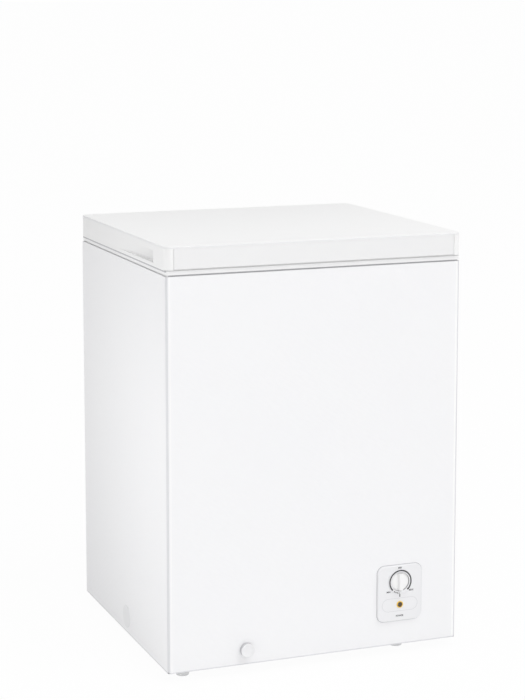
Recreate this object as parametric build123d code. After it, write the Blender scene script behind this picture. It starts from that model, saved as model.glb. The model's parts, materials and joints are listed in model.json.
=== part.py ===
from build123d import *
import os
from math import cos, pi, sin, sqrt

os.makedirs("parts", exist_ok=True)

# Driving dimensions in millimetres. X runs to the right seen from the front, Y to the back, Z up.

# Cabinet shell
CABINET_WIDTH = 616.0
CABINET_DEPTH = 566.0
SHELL_HEIGHT = 775.0
SHEET = 0.6
CORNER_RADIUS = 6.0
FRONT_RETURN = 14.0
PANEL_SEAM = 0.4
WALL = 60.0
LOOSE_FIT = 0.3
RUNNING_FIT = 0.05

# Feet
FOOT_HEIGHT = 18.0
FOOT_TOP_RADIUS = 15.0
FOOT_BOTTOM_RADIUS = 12.0
FOOT_LEFT_INSET = 42.0
FOOT_RIGHT_INSET = 111.0
FOOT_END_INSET = 40.0
FOOT_RIGHT_SETBACK = 9.0
FOOT_BORE_RADIUS = 5.2
FOOT_BORE_DEPTH = 8.0
FOOT_SCREW_RADIUS = 2.5
FOOT_SCREW_HEAD_RADIUS = 4.6
FOOT_SCREW_HEAD = 3.5
FOOT_SCREW_REACH = 8.0

# Storage liner
LINER = 0.8
LINER_CORNER = 30.0
LINER_FLOOR_RADIUS = 12.0
LEDGE_WIDTH = 8.0
LEDGE_DROP = 34.0

# Top rim
RIM_GROOVE = 3.0
RIM_LIP = 3.0
RIM_INSET = 0.3
RIM_SKIRT = 14.0
RIM_SKIRT_INSET = 3.0
RIM_WALL = 2.5
RIM_BEAD_WIDTH = 9.0
RIM_BEAD_BELOW_LID = 1.2

# Compressor bay at the lower right
BAY_WIDTH = 200.0
BAY_HEIGHT = 250.0
BAY_INSULATION = 50.0
TRAY = 1.6
TRAY_LIP = 16.0

# Compressor on its rubber mounts
COMPRESSOR_RADIUS = 70.0
COMPRESSOR_HEIGHT = 162.0
COMPRESSOR_ROUND = 34.0
COMPRESSOR_SEAM = 3.0
COMPRESSOR_WALL = 3.0
PUMP_RADIUS = 44.0
PUMP_HEIGHT = 96.0
COMPRESSOR_FROM_BACK = 135.0
MOUNT_PLATE = 3.0
MOUNT_HALF_X = 80.0
MOUNT_HALF_Y = 62.0
MOUNT_BOLT_X = 66.0
MOUNT_BOLT_Y = 50.0
GROMMET_RADIUS = 11.0
GROMMET_HEIGHT = 12.0
BOLT_RADIUS = 3.0
BOLT_HEAD_RADIUS = 5.5
BOLT_HEAD = 5.0
BOLT_END = 4.0
TERMINAL_HALF = 24.0
TERMINAL_DEPTH = 26.0
TERMINAL_LOW = 60.0
TERMINAL_HIGH = 118.0
CASE_ROUND = 3.0

# Refrigerant circuit
EVAPORATOR_RADIUS = 4.0
EVAPORATOR_TURNS = 7
EVAPORATOR_RETURN = 24.0
CONDENSER_RADIUS = 2.5
CONDENSER_TURNS = 6
CONDENSER_RETURN = 24.0
CONDENSER_CORNER = 30.0
TUBE_WALL = 0.7
COIL_CLEAR = 0.6
COIL_BEDDING = 1.5
COIL_START = 26.0
COIL_TOP_MARGIN = 40.0
COIL_BEND = 10.0
TAIL = 12.0
TAIL_SPACING = 42.0
DRIER_FROM_COMPRESSOR = 100.0
TUBE_BEND = 9.0
DRIER_RADIUS = 9.0
DRIER_LENGTH = 90.0
CAPILLARY_RADIUS = 1.2

# Compressor bay covers
COVER = 1.2
COVER_OVERLAP = 12.0
COVER_EDGE = 4.0
COVER_TOP_SCREWS = (0.1, 0.5, 0.9)
COVER_SIDE_SCREWS = (0.3, 0.7)
COVER_LIP_SCREWS = (0.2, 0.6)
SLOT_HEIGHT = 5.0
SLOT_PITCH = 14.0
SLOT_MARGIN = 30.0
SCREW_RADIUS = 2.0
SCREW_HEAD_RADIUS = 4.0
SCREW_HEAD = 2.0
SCREW_LENGTH = 10.0
GRILLE_FROM_FRONT = 120.0
GRILLE_LENGTH = 240.0
GRILLE_LOW = 45.0
GRILLE_HEIGHT = 140.0
GRILLE_FLANGE = 8.0
GRILLE_PROUD = 1.5
GRILLE_DEPTH = 6.0
GLAND_FROM_RIGHT = 30.0
GLAND_LIFT = 45.0
GLAND_RADIUS = 7.0
GLAND_BORE = 4.0
GLAND_FLANGE_RADIUS = 10.0
GLAND_FLANGE = 2.5
GLAND_LENGTH = 9.0

# Control panel
BEZEL_FROM_RIGHT = 127.0
BEZEL_LIFT = 107.5
BEZEL_WIDTH = 97.0
BEZEL_HEIGHT = 115.0
BEZEL_CORNER = 15.0
BEZEL_PROUD = 4.0
BEZEL_BEVEL = 2.5
BEZEL_LAND = 6.0
BEZEL_SKIRT = 8.0
BEZEL_WALL = 2.5
DIAL_RISE = 24.0
DIAL_DISH_RADIUS = 24.5
DIAL_DISH = 1.5
KNOB_RADIUS = 19.0
KNOB_PROUD = 8.0
KNOB_GRIP = 10.0
KNOB_GRIP_INSET = 1.5
KNOB_GRIP_ROUND = 4.0
KNOB_EDGE = 1.2
KNOB_FLANGE = 3.0
LAMP_DROP = 23.5
LENS_RADIUS = 7.0
LENS_FLANGE = 1.0
LENS_LENGTH = 9.0
LAMP_RADIUS = 5.5
LAMP_LENGTH = 20.0
THERMOSTAT_WIDTH = 46.0
THERMOSTAT_HEIGHT = 34.0
THERMOSTAT_DEPTH = 28.0
THERMOSTAT_NECK = 5.0
SHAFT_RADIUS = 3.0
SHAFT_IN_KNOB = 8.0
SHAFT_IN_BODY = 12.0
SENSOR_RADIUS = 1.2
SENSOR_OFFSET = 14.0
HARNESS_RADIUS = 3.0
HARNESS_BEND = 24.0

# Drain and the plug in the filling hole
DRAIN_FROM_LEFT = 160.8
DRAIN_LIFT = 30.0
DRAIN_FROM_WALL = 42.0
DRAIN_RADIUS = 9.0
DRAIN_BORE = 7.0
DRAIN_BEND = 14.0
CAP_RADIUS = 14.0
CAP_PROUD = 10.0
CAP_ROUND = 2.5
CAP_STEM = 20.0
STOPPER_RADIUS = 13.0
STOPPER_FLANGE = 2.5
STOPPER_ABOVE_BEND = 5.0
STOPPER_TAB = 12.0
STOPPER_TAB_THICK = 3.0
STOPPER_HOLE = 3.0
FILL_PLUG_FROM_FRONT = 270.0
FILL_PLUG_LIFT = 33.5
FILL_PLUG_RADIUS = 23.5
FILL_PLUG_FLANGE = 1.0
FILL_PLUG_STEM_RADIUS = 19.5
FILL_PLUG_STEM = 6.0

# Lid
LID_THICKNESS = 45.0
LID_OVERHANG = 2.5
LID_CORNER = 17.0
LID_WALL = 4.0
LID_FLANGE = 3.0
LID_OPENING_INSET = 40.0
LID_INNER_CORNER = 10.0
LID_TOP = 3.2
LID_TOP_ROUND = 1.4
LID_GROOVE = 0.8
LID_GROOVE_DEPTH = 1.2
LID_LINER = 1.5
LID_LINER_OVERLAP = 10.0
PLUG_DEPTH = 22.0
PLUG_CLEAR = 10.0
PLUG_DRAFT = 10.0
FRONT_PLATE_END = 17.0
FRONT_PLATE_LIFT = 0.8
FRONT_PLATE = 2.5
FRONT_PLATE_GAP = 0.6
FRONT_PLATE_ROUND = 0.6
GRIP_FRONT = 72.0
GRIP_BACK = 290.0
GRIP_DEPTH = 22.0
GRIP_LOW = 6.5
GRIP_BELOW_TOP = 10.5
GRIP_WALL = 4.0
GRIP_BOW = 0.42
GRIP_ROUND = 3.0

# Lid seal
GASKET_HEIGHT = 6.0
GASKET_INSET = 18.0
GASKET_WIDTH = 14.0
GASKET_CORNER = 22.0
GASKET_GAP = 0.2
MAGNET_WIDTH = 8.0
MAGNET_HEIGHT = 3.0
MAGNET_CLEAR = 0.3

# Hinges
HINGE_INSET = 120.0
HINGE_PLATE = 2.0
HINGE_WIDTH = 58.0
HINGE_DROP = 108.0
HINGE_EAR = 3.0
HINGE_EAR_RADIUS = 7.0
HINGE_EAR_REACH = 62.0
HINGE_TOP_CLEAR = 18.0
HINGE_BELOW_LID = 2.0
HINGE_SIDE_CLEAR = 0.5
ARM_HALF = 19.5
ARM_LOW = 6.0
ARM_BELOW_TOP = 5.0
PIN_RADIUS = 3.0
PIN_HEAD_RADIUS = 5.0
PIN_HEAD = 2.5
SPRING_WIRE = 1.0
SPRING_TURNS = 6
SPRING_LEG = 26.0
SPRING_LEG_ROOM = 5.0
BASE_SCREW_HALF = 18.0
BASE_SCREW_DROPS = (78.0, 98.0)
ARM_SCREW_HALF = 9.0
ARM_SCREW_RISE = 16.0
ARM_SCREW_BELOW_TOP = 12.0

# Wire basket hanging on the liner's ledge
BASKET_WIDTH = 192.0
BASKET_DEPTH = 190.0
BASKET_END_GAP = 6.0
BASKET_RIM_RADIUS = 2.5
BASKET_RIM_CORNER = 30.0
BASKET_LOOP_RADIUS = 2.0
BASKET_LOOP_CORNER = 12.0
BASKET_LOOP_GAP = 9.0
BASKET_WIRE_RADIUS = 1.3
BASKET_WIRE_BEND = 4.0
BASKET_LONG_WIRES = 8
BASKET_CROSS_WIRES = 15
BASKET_WIRE_MARGIN = 24.0
BASKET_BELT_DROP = 95.0
WELD_GAP = 0.05

# Levels, from the floor up
z_base = FOOT_HEIGHT
z_shell = z_base + SHELL_HEIGHT
z_lip = z_shell + RIM_GROOVE
z_rim = z_lip + RIM_LIP
z_lid = z_rim + GASKET_HEIGHT
z_top = z_lid + LID_THICKNESS
z_plate = z_top - LID_TOP
z_frame = z_plate - LID_GROOVE
z_lid_liner = z_lid + LID_FLANGE + LID_LINER
z_grip_top = z_frame - GRIP_BELOW_TOP
z_ledge = z_rim - LEDGE_DROP
z_floor = z_base + WALL
z_bay = z_base + BAY_HEIGHT
z_step = z_bay + BAY_INSULATION
z_tray = z_base + TRAY

# Hinge axis, set back so that the spring's leg lies on the hinge plate
spring_radius = PIN_RADIUS + LOOSE_FIT + SPRING_WIRE
hinge_setback = HINGE_PLATE + LOOSE_FIT + SPRING_WIRE + spring_radius
z_hinge = z_lid - HINGE_BELOW_LID

# Plan positions; the knob and the hinges set how far the object reaches in front and behind
front_proud = BEZEL_PROUD + KNOB_PROUD
rear_proud = hinge_setback + HINGE_EAR_RADIUS
half_width = CABINET_WIDTH / 2
y_front = -(front_proud + CABINET_DEPTH + rear_proud) / 2 + front_proud
y_back = y_front + CABINET_DEPTH
y_hinge = y_back + hinge_setback
inside = half_width - SHEET
hinge_places = {"left": HINGE_INSET - half_width, "right": half_width - HINGE_INSET}

# Liner faces
liner_left = WALL - half_width
liner_right = half_width - WALL
liner_front = y_front + WALL
liner_back = y_back - WALL
x_bay = half_width - BAY_WIDTH
x_step = x_bay - BAY_INSULATION

# Lid outline
lid_half = half_width + LID_OVERHANG
lid_front = y_front - LID_OVERHANG
lid_back = y_back

# Compressor, control panel and drain
bay_middle = (x_bay + SHEET + inside) / 2
compressor_y = y_back - COMPRESSOR_FROM_BACK
z_mount = z_tray + GROMMET_HEIGHT
z_compressor = z_mount + MOUNT_PLATE
z_compressor_top = z_compressor + COMPRESSOR_HEIGHT
bezel_x = half_width - BEZEL_FROM_RIGHT
bezel_z = z_base + BEZEL_LIFT
dial_z = bezel_z + DIAL_RISE
lamp_z = bezel_z - LAMP_DROP
drain_x = DRAIN_FROM_LEFT - half_width
drain_y = liner_front + DRAIN_FROM_WALL
drain_z = z_base + DRAIN_LIFT
fill_plug_y = y_front + FILL_PLUG_FROM_FRONT
fill_plug_z = z_base + FILL_PLUG_LIFT
gland_x = half_width - GLAND_FROM_RIGHT
gland_z = z_base + GLAND_LIFT

FORWARD = (0, -1, 0)
BACKWARD = (0, 1, 0)
UP = (0, 0, 1)
DOWN = (0, 0, -1)
RIGHT = (1, 0, 0)


# Building helpers
def block(x0, x1, y0, y1, z0, z1):
    """A box between two corners."""
    return Pos((x0 + x1) / 2, (y0 + y1) / 2, (z0 + z1) / 2) * Box(x1 - x0, y1 - y0, z1 - z0)


def rounded_block(x0, x1, y0, y1, z0, z1, radius):
    """A box whose four upright edges are rounded."""
    outline = Pos((x0 + x1) / 2, (y0 + y1) / 2, z0) * RectangleRounded(x1 - x0, y1 - y0, radius)
    return extrude(outline, z1 - z0)


def rod(start, direction, radius, length):
    """A round bar that starts at a point and runs along a direction."""
    along = Align.CENTER, Align.CENTER, Align.MIN
    return Plane(origin=start, z_dir=direction) * Cylinder(radius, length, align=along)


def swept(path, radius, bore=0):
    """A round wire, or a tube where a bore is given, along a path."""
    section = Circle(radius)
    if bore:
        section -= Circle(bore)
    return sweep(Plane(origin=path @ 0, z_dir=path % 0) * section, path=path)


def bent(points, bends, radius, bore=0):
    """A tube along straight runs that are joined by tangent bends."""
    return swept(FilletPolyline(*points, radius=bends), radius, bore)


def screw(seat, direction, radius, length, head_radius, head):
    """A screw whose head stands on its seat and whose shank runs along a direction."""
    seat = Vector(*seat)
    back = Vector(*direction) * -1
    shank = rod(seat, direction, radius, length)
    cap = rod(seat, back, head_radius, head)
    rim = cap.edges().sort_by_distance(seat + back * head)[0]
    return shank + fillet(rim, head / 3)


def panel_screws(places, seat):
    """Small screws driven forward from a seat on the back."""
    return [
        screw((x, seat, z), FORWARD, SCREW_RADIUS, SCREW_LENGTH, SCREW_HEAD_RADIUS, SCREW_HEAD)
        for x, z in places
    ]


def biarc(start, leaving, end, arriving):
    """Two arcs that join two points smoothly along the given directions."""
    chord = end - start
    both = leaving + arriving
    a = both.dot(both) - 4
    b = -2 * chord.dot(both)
    c = chord.dot(chord)
    arm = (-b - sqrt(b * b - 4 * a * c)) / (2 * a)
    first = start + leaving * arm
    second = end - arriving * arm
    middle = (first + second) / 2
    return [
        Edge.make_tangent_arc(start, leaving, middle),
        Edge.make_tangent_arc(middle, second - first, end),
    ]


def ring_path(x0, x1, y0, y1, z, radius):
    """A closed level loop with rounded corners."""
    return Pos((x0 + x1) / 2, (y0 + y1) / 2, z) * RectangleRounded(x1 - x0, y1 - y0, radius).wire()


# Places shared by pieces that fasten together
def foot_places():
    left = FOOT_LEFT_INSET - half_width
    right = half_width - FOOT_RIGHT_INSET
    front = y_front + FOOT_END_INSET
    back = y_back - FOOT_END_INSET
    right_front = front + FOOT_RIGHT_SETBACK
    right_back = back - FOOT_RIGHT_SETBACK
    return [(left, front), (right, right_front), (left, back), (right, right_back)]


def cover_screw_places():
    """Screws through the rear cover: into the insulation, and into the tray's lip."""
    top = z_bay + COVER_OVERLAP / 2
    side = x_bay - COVER_OVERLAP / 2
    low = z_tray + TRAY_LIP / 2
    reach = inside - x_bay
    held = [(x_bay + reach * share, top) for share in COVER_TOP_SCREWS]
    held += [(side, z_base + BAY_HEIGHT * share) for share in COVER_SIDE_SCREWS]
    lip = [(x_bay + reach * share, low) for share in COVER_LIP_SCREWS]
    return held, lip


def base_screw_places():
    return [
        (x + side * BASE_SCREW_HALF, z_hinge - drop)
        for x in hinge_places.values()
        for side in (-1, 1)
        for drop in BASE_SCREW_DROPS
    ]


def arm_screw_places():
    return [
        (x + side * ARM_SCREW_HALF, z)
        for x in hinge_places.values()
        for side in (-1, 1)
        for z in (z_lid + ARM_SCREW_RISE, z_top - ARM_SCREW_BELOW_TOP)
    ]


def mount_bolt_places():
    return [
        (bay_middle + sx * MOUNT_BOLT_X, compressor_y + sy * MOUNT_BOLT_Y)
        for sx in (-1, 1)
        for sy in (-1, 1)
    ]


# Shell panels
def bezel_hole(clearance):
    half_x = BEZEL_WIDTH / 2 - BEZEL_LAND + clearance
    half_z = BEZEL_HEIGHT / 2 - BEZEL_LAND + clearance
    return block(
        bezel_x - half_x, bezel_x + half_x, y_front, y_front + BEZEL_SKIRT, bezel_z - half_z, bezel_z + half_z
    )


def front_panel():
    """The front sheet, bent round both upright corners."""
    middle = y_front + FRONT_RETURN / 2
    outer = Pos(0, middle) * Rectangle(CABINET_WIDTH, FRONT_RETURN)
    outer = fillet(outer.vertices().group_by(Axis.Y)[0], CORNER_RADIUS)
    inner = Pos(0, middle + SHEET) * Rectangle(CABINET_WIDTH - 2 * SHEET, FRONT_RETURN)
    inner = fillet(inner.vertices().group_by(Axis.Y)[0], CORNER_RADIUS - SHEET)
    panel = Pos(0, 0, z_base) * extrude(outer - inner, SHELL_HEIGHT)
    panel -= bezel_hole(LOOSE_FIT)
    panel -= rod((drain_x, y_front, drain_z), BACKWARD, DRAIN_RADIUS + LOOSE_FIT, SHEET)
    return panel


def side_panel(x0, x1):
    return block(x0, x1, y_front + FRONT_RETURN + PANEL_SEAM, y_back, z_base, z_shell)


def left_side_panel():
    panel = side_panel(-half_width, -inside)
    hole = FILL_PLUG_STEM_RADIUS + LOOSE_FIT
    return panel - rod((-half_width, fill_plug_y, fill_plug_z), RIGHT, hole, SHEET)


def grille_box(grow, x0, x1):
    y0 = y_front + GRILLE_FROM_FRONT
    z0 = z_base + GRILLE_LOW
    return block(x0, x1, y0 - grow, y0 + GRILLE_LENGTH + grow, z0 - grow, z0 + GRILLE_HEIGHT + grow)


def right_side_panel():
    return side_panel(inside, half_width) - grille_box(LOOSE_FIT, inside, half_width)


def back_panel():
    """The back sheet, cut away over the compressor bay."""
    panel = block(-inside, inside, y_back - SHEET, y_back, z_base, z_shell)
    panel -= block(x_bay, inside, y_back - SHEET, y_back, z_base, z_bay)
    held, lip = cover_screw_places()
    for x, z in held + base_screw_places():
        panel -= rod((x, y_back, z), FORWARD, SCREW_RADIUS + LOOSE_FIT, SHEET)
    return panel


def within_shell(x0, x1, z0, z1):
    """A box that fills the shell from front to back, rounded where the shell's corners are."""
    box = block(-inside, inside, y_front + SHEET, y_back - SHEET, z0, z1)
    box = fillet(box.edges().filter_by(Axis.Z).group_by(Axis.Y)[0], CORNER_RADIUS)
    return box & block(x0, x1, y_front, y_back, z0, z1)


def base_pan():
    pan = within_shell(-inside, x_bay + SHEET, z_base, z_base + SHEET)
    for x, y in foot_places():
        pan -= rod((x, y, z_base), UP, FOOT_SCREW_RADIUS + LOOSE_FIT, SHEET)
    return pan


# Compressor bay
def tail_places():
    """Where the two coils come down into the bay: evaporator in and out, condenser in and out."""
    return {
        "evaporator_in": (evaporator_x, compressor_y + TAIL_SPACING),
        "evaporator_out": (evaporator_x + EVAPORATOR_RETURN, compressor_y),
        "condenser_in": (condenser_x, compressor_y - TAIL_SPACING),
        "condenser_out": (condenser_x - CONDENSER_RETURN, compressor_y - DRIER_FROM_COMPRESSOR),
    }


def compressor_bay_shroud():
    """The bent sheet that parts the bay from the insulation."""
    shroud = within_shell(x_bay, x_bay + SHEET, z_base + SHEET, z_bay)
    shroud += within_shell(x_bay, inside, z_bay - SHEET, z_bay)
    for x, y in tail_places().values():
        shroud -= rod((x, y, z_bay - SHEET), UP, EVAPORATOR_RADIUS + LOOSE_FIT, SHEET)
    shroud -= rod((sensor_x, sensor_y, z_bay - SHEET), UP, SENSOR_RADIUS + LOOSE_FIT, SHEET)
    return shroud


def compressor_tray():
    """The bay's floor, with a lip that the rear cover screws to."""
    x0 = x_bay + SHEET
    y1 = y_back - SHEET
    tray = within_shell(x0, inside, z_base, z_tray)
    tray += block(x0, inside, y1 - TRAY, y1, z_tray, z_tray + TRAY_LIP)
    for x, y in foot_places():
        tray -= rod((x, y, z_base), UP, FOOT_SCREW_RADIUS + LOOSE_FIT, TRAY)
    for x, y in mount_bolt_places():
        tray -= rod((x, y, z_base), UP, BOLT_RADIUS + LOOSE_FIT, TRAY)
    held, lip = cover_screw_places()
    for x, z in lip:
        tray -= rod((x, y1, z), FORWARD, SCREW_RADIUS + LOOSE_FIT, TRAY)
    return tray


def can_space(shrink):
    """The can's rounded outline, drawn inwards."""
    height = COMPRESSOR_HEIGHT - 2 * shrink
    can = rod((bay_middle, compressor_y, z_compressor + shrink), UP, COMPRESSOR_RADIUS - shrink, height)
    return fillet(can.edges().filter_by(GeomType.CIRCLE), COMPRESSOR_ROUND - shrink)


def compressor_housing():
    """The welded steel can, with its seam round the middle."""
    seam_low = z_compressor + (COMPRESSOR_HEIGHT - COMPRESSOR_SEAM) / 2
    seam_radius = COMPRESSOR_RADIUS + COMPRESSOR_SEAM
    can = can_space(0) + rod((bay_middle, compressor_y, seam_low), UP, seam_radius, COMPRESSOR_SEAM)
    return can - can_space(COMPRESSOR_WALL)


def compressor_pump():
    """The motor and pump inside the can, on a foot that stands on its floor."""
    floor = z_compressor + COMPRESSOR_WALL
    foot_radius = COMPRESSOR_RADIUS - COMPRESSOR_ROUND
    foot = rod((bay_middle, compressor_y, floor), UP, foot_radius, COMPRESSOR_ROUND)
    return foot + rod((bay_middle, compressor_y, floor + COMPRESSOR_ROUND / 2), UP, PUMP_RADIUS, PUMP_HEIGHT)


def compressor_mount_plate():
    x0 = bay_middle - MOUNT_HALF_X
    x1 = bay_middle + MOUNT_HALF_X
    y0 = compressor_y - MOUNT_HALF_Y
    y1 = compressor_y + MOUNT_HALF_Y
    plate = rounded_block(x0, x1, y0, y1, z_mount, z_compressor, GROMMET_RADIUS)
    for bx, by in mount_bolt_places():
        plate -= rod((bx, by, z_mount), UP, BOLT_RADIUS + LOOSE_FIT, MOUNT_PLATE)
    return plate


def compressor_grommets():
    made = []
    for x, y in mount_bolt_places():
        grommet = rod((x, y, z_tray), UP, GROMMET_RADIUS, GROMMET_HEIGHT)
        grommet -= rod((x, y, z_tray), UP, BOLT_RADIUS + LOOSE_FIT, GROMMET_HEIGHT)
        made.append(grommet)
    return made


def compressor_bolts():
    length = MOUNT_PLATE + GROMMET_HEIGHT + TRAY + BOLT_END
    return [
        screw((x, y, z_compressor), DOWN, BOLT_RADIUS, length, BOLT_HEAD_RADIUS, BOLT_HEAD)
        for x, y in mount_bolt_places()
    ]


def terminal_cover():
    """The box over the compressor's terminals, hollowed to fit the can."""
    x = bay_middle
    front = compressor_y - COMPRESSOR_RADIUS - TERMINAL_DEPTH
    low = z_compressor + TERMINAL_LOW
    high = z_compressor + TERMINAL_HIGH
    cover = block(x - TERMINAL_HALF, x + TERMINAL_HALF, front, compressor_y, low, high)
    cover = fillet(cover.edges().filter_by(Axis.Z).group_by(Axis.Y)[0], CASE_ROUND)
    reach = COMPRESSOR_RADIUS + COMPRESSOR_SEAM + LOOSE_FIT
    return cover - rod((x, compressor_y, z_compressor), UP, reach, COMPRESSOR_HEIGHT)


# Coils: one tube round the liner, one round the inside of the shell
evaporator_offset = LINER + COIL_BEDDING + EVAPORATOR_RADIUS
evaporator_x = liner_right + evaporator_offset
condenser_offset = SHEET + COIL_BEDDING + CONDENSER_RADIUS
condenser_x = half_width - condenser_offset
sensor_x = bezel_x + SENSOR_OFFSET
sensor_y = y_front + BEZEL_SKIRT + THERMOSTAT_DEPTH / 2


def coil_pitch(turns):
    """The rise of one turn, so that the coil fills the height beside the liner."""
    return (z_ledge - COIL_TOP_MARGIN - z_step - COIL_START) / (turns + 0.25)


def coil_path(x0, x1, y0, y1, corner, turns, inlet_y, outlet, z_tail):
    """One rising line from a riser in the right wall, round all four walls, and back down."""
    z = z_step + COIL_START
    pitch = coil_pitch(turns)
    points = [(x1, inlet_y, z_tail), (x1, inlet_y, z)]
    for quarter in range(4 * turns):
        x = (x1, x0, x0, x1)[quarter % 4]
        y = (y1, y1, y0, y0)[quarter % 4]
        points.append((x, y, z + pitch * (quarter + 1) / 4))
    top = z + pitch * (turns + 0.25)
    outlet_x, outlet_y = outlet
    points += [(x1, outlet_y, top), (outlet_x, outlet_y, top), (outlet_x, outlet_y, z_tail)]
    bends = [COIL_BEND] + [corner] * (4 * turns) + [COIL_BEND, COIL_BEND]
    return FilletPolyline(*points, radius=bends)


def evaporator_path(z_tail):
    tails = tail_places()
    return coil_path(
        liner_left - evaporator_offset,
        evaporator_x,
        liner_front - evaporator_offset,
        liner_back + evaporator_offset,
        LINER_CORNER + evaporator_offset,
        EVAPORATOR_TURNS,
        tails["evaporator_in"][1],
        tails["evaporator_out"],
        z_tail,
    )


def condenser_path(z_tail):
    tails = tail_places()
    return coil_path(
        -condenser_x,
        condenser_x,
        y_front + condenser_offset,
        y_back - condenser_offset,
        CONDENSER_CORNER,
        CONDENSER_TURNS,
        tails["condenser_in"][1],
        tails["condenser_out"],
        z_tail,
    )


def evaporator_coil():
    print("least gap between evaporator turns", coil_pitch(EVAPORATOR_TURNS) - 2 * EVAPORATOR_RADIUS)
    return swept(evaporator_path(z_bay - TAIL), EVAPORATOR_RADIUS, EVAPORATOR_RADIUS - TUBE_WALL)


def condenser_coil():
    print("least gap between condenser turns", coil_pitch(CONDENSER_TURNS) - 2 * CONDENSER_RADIUS)
    return swept(condenser_path(z_bay - TAIL), CONDENSER_RADIUS, CONDENSER_RADIUS - TUBE_WALL)


def suction_line():
    """From the evaporator's outlet to the top of the can."""
    x, y = tail_places()["evaporator_out"]
    z = z_bay - TAIL
    low = (z + z_compressor_top) / 2
    into = bay_middle + COMPRESSOR_RADIUS / 4
    points = [(x, y, z), (x, y, low), (into, y, low), (into, y, z_compressor_top)]
    return bent(points, [TUBE_BEND, TUBE_BEND], EVAPORATOR_RADIUS, EVAPORATOR_RADIUS - TUBE_WALL)


def discharge_line():
    """From the top of the can to the condenser's inlet, in front of the suction line."""
    x, y = tail_places()["condenser_in"]
    z = z_bay - TAIL
    low = (z + z_compressor_top) / 2
    into = bay_middle - COMPRESSOR_RADIUS / 4
    points = [
        (x, y, z),
        (x, y, low),
        (into, y, low),
        (into, compressor_y, low),
        (into, compressor_y, z_compressor_top),
    ]
    return bent(points, [TUBE_BEND] * 3, CONDENSER_RADIUS, CONDENSER_RADIUS - TUBE_WALL)


def filter_drier():
    """The copper drier on the condenser's outlet, drawn in at both ends."""
    x, y = tail_places()["condenser_out"]
    z = z_bay - TAIL
    body = rod((x, y, z - DRIER_LENGTH), UP, DRIER_RADIUS, DRIER_LENGTH)
    return fillet(body.edges().filter_by(GeomType.CIRCLE), DRIER_RADIUS - CONDENSER_RADIUS)


def capillary_tube():
    """From the drier's lower end, forward, up and back to the evaporator's inlet."""
    x0, y0 = tail_places()["condenser_out"]
    x1, y1 = tail_places()["evaporator_in"]
    top = z_bay - TAIL
    high = top - TUBE_BEND
    low = top - DRIER_LENGTH
    drop = low - 2 * TUBE_BEND
    ahead = y0 - TAIL_SPACING
    points = [
        (x0, y0, low),
        (x0, y0, drop),
        (x0, ahead, drop),
        (x0, ahead, high),
        (x1, ahead, high),
        (x1, y1, high),
        (x1, y1, top),
    ]
    return bent(points, [TUBE_BEND - CAPILLARY_RADIUS] * 5, CAPILLARY_RADIUS)


# Insulation
def tub(grow):
    """The storage space with its step over the compressor bay, grown outwards."""
    x0 = liner_left - grow
    y0 = liner_front - grow
    y1 = liner_back + grow
    corner = LINER_CORNER + grow
    upper = rounded_block(x0, liner_right + grow, y0, y1, z_step - grow, z_ledge, corner)
    lower = rounded_block(x0, x_step + grow, y0, y1, z_floor - grow, z_step - grow, corner)
    lower = fillet(lower.edges().group_by(Axis.Z)[0], LINER_FLOOR_RADIUS + grow)
    return upper + lower


def rim_opening(grow, z0, z1):
    reach = LEDGE_WIDTH + grow
    x0 = liner_left - reach
    x1 = liner_right + reach
    return rounded_block(x0, x1, liner_front - reach, liner_back + reach, z0, z1, LINER_CORNER + reach)


def shell_inset(inset, z0, z1):
    """The shell's outline drawn inwards."""
    corner = max(CORNER_RADIUS - inset, SHEET)
    x = half_width - inset
    return rounded_block(-x, x, y_front + inset, y_back - inset, z0, z1, corner)


def drain_path():
    points = [(drain_x, drain_y, z_floor - LINER), (drain_x, drain_y, drain_z), (drain_x, y_front, drain_z)]
    return FilletPolyline(*points, radius=[DRAIN_BEND])


def cabinet_foam():
    """Insulation between shell and liner, with channels for everything that runs through it."""
    z_skirt = z_shell - RIM_SKIRT
    foam = within_shell(-inside, inside, z_base + SHEET, z_skirt)
    foam += shell_inset(RIM_SKIRT_INSET + RIM_WALL, z_skirt, z_lip)
    foam -= block(x_bay, inside, y_front + SHEET, y_back - SHEET, z_base, z_bay)
    foam -= tub(LINER)
    foam -= rim_opening(RIM_WALL, z_ledge - LINER, z_lip)
    foam -= swept(evaporator_path(z_bay), EVAPORATOR_RADIUS + COIL_CLEAR)
    foam -= swept(condenser_path(z_bay), CONDENSER_RADIUS + COIL_CLEAR)
    foam -= swept(drain_path(), DRAIN_RADIUS + LOOSE_FIT)
    foam -= rod((-inside, fill_plug_y, fill_plug_z), RIGHT, FILL_PLUG_STEM_RADIUS + LOOSE_FIT, FILL_PLUG_STEM)
    foam -= rod((sensor_x, sensor_y, z_bay), UP, SENSOR_RADIUS + LOOSE_FIT, BAY_INSULATION - LINER)
    for x, y in foot_places():
        foam -= rod((x, y, z_base), UP, FOOT_SCREW_RADIUS + LOOSE_FIT, SHEET + FOOT_SCREW_REACH)
    held, lip = cover_screw_places()
    for x, z in held + base_screw_places():
        foam -= rod((x, y_back, z), FORWARD, SCREW_RADIUS + LOOSE_FIT, SCREW_LENGTH)
    return foam


# Liner, rim and drain
def inner_liner():
    """The pressed tub, with a flange that makes the basket's ledge."""
    liner = tub(LINER) + rim_opening(RIM_WALL, z_ledge - LINER, z_ledge)
    liner -= tub(0)
    return liner - rod((drain_x, drain_y, z_floor - LINER), UP, DRAIN_BORE, LINER)


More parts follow.
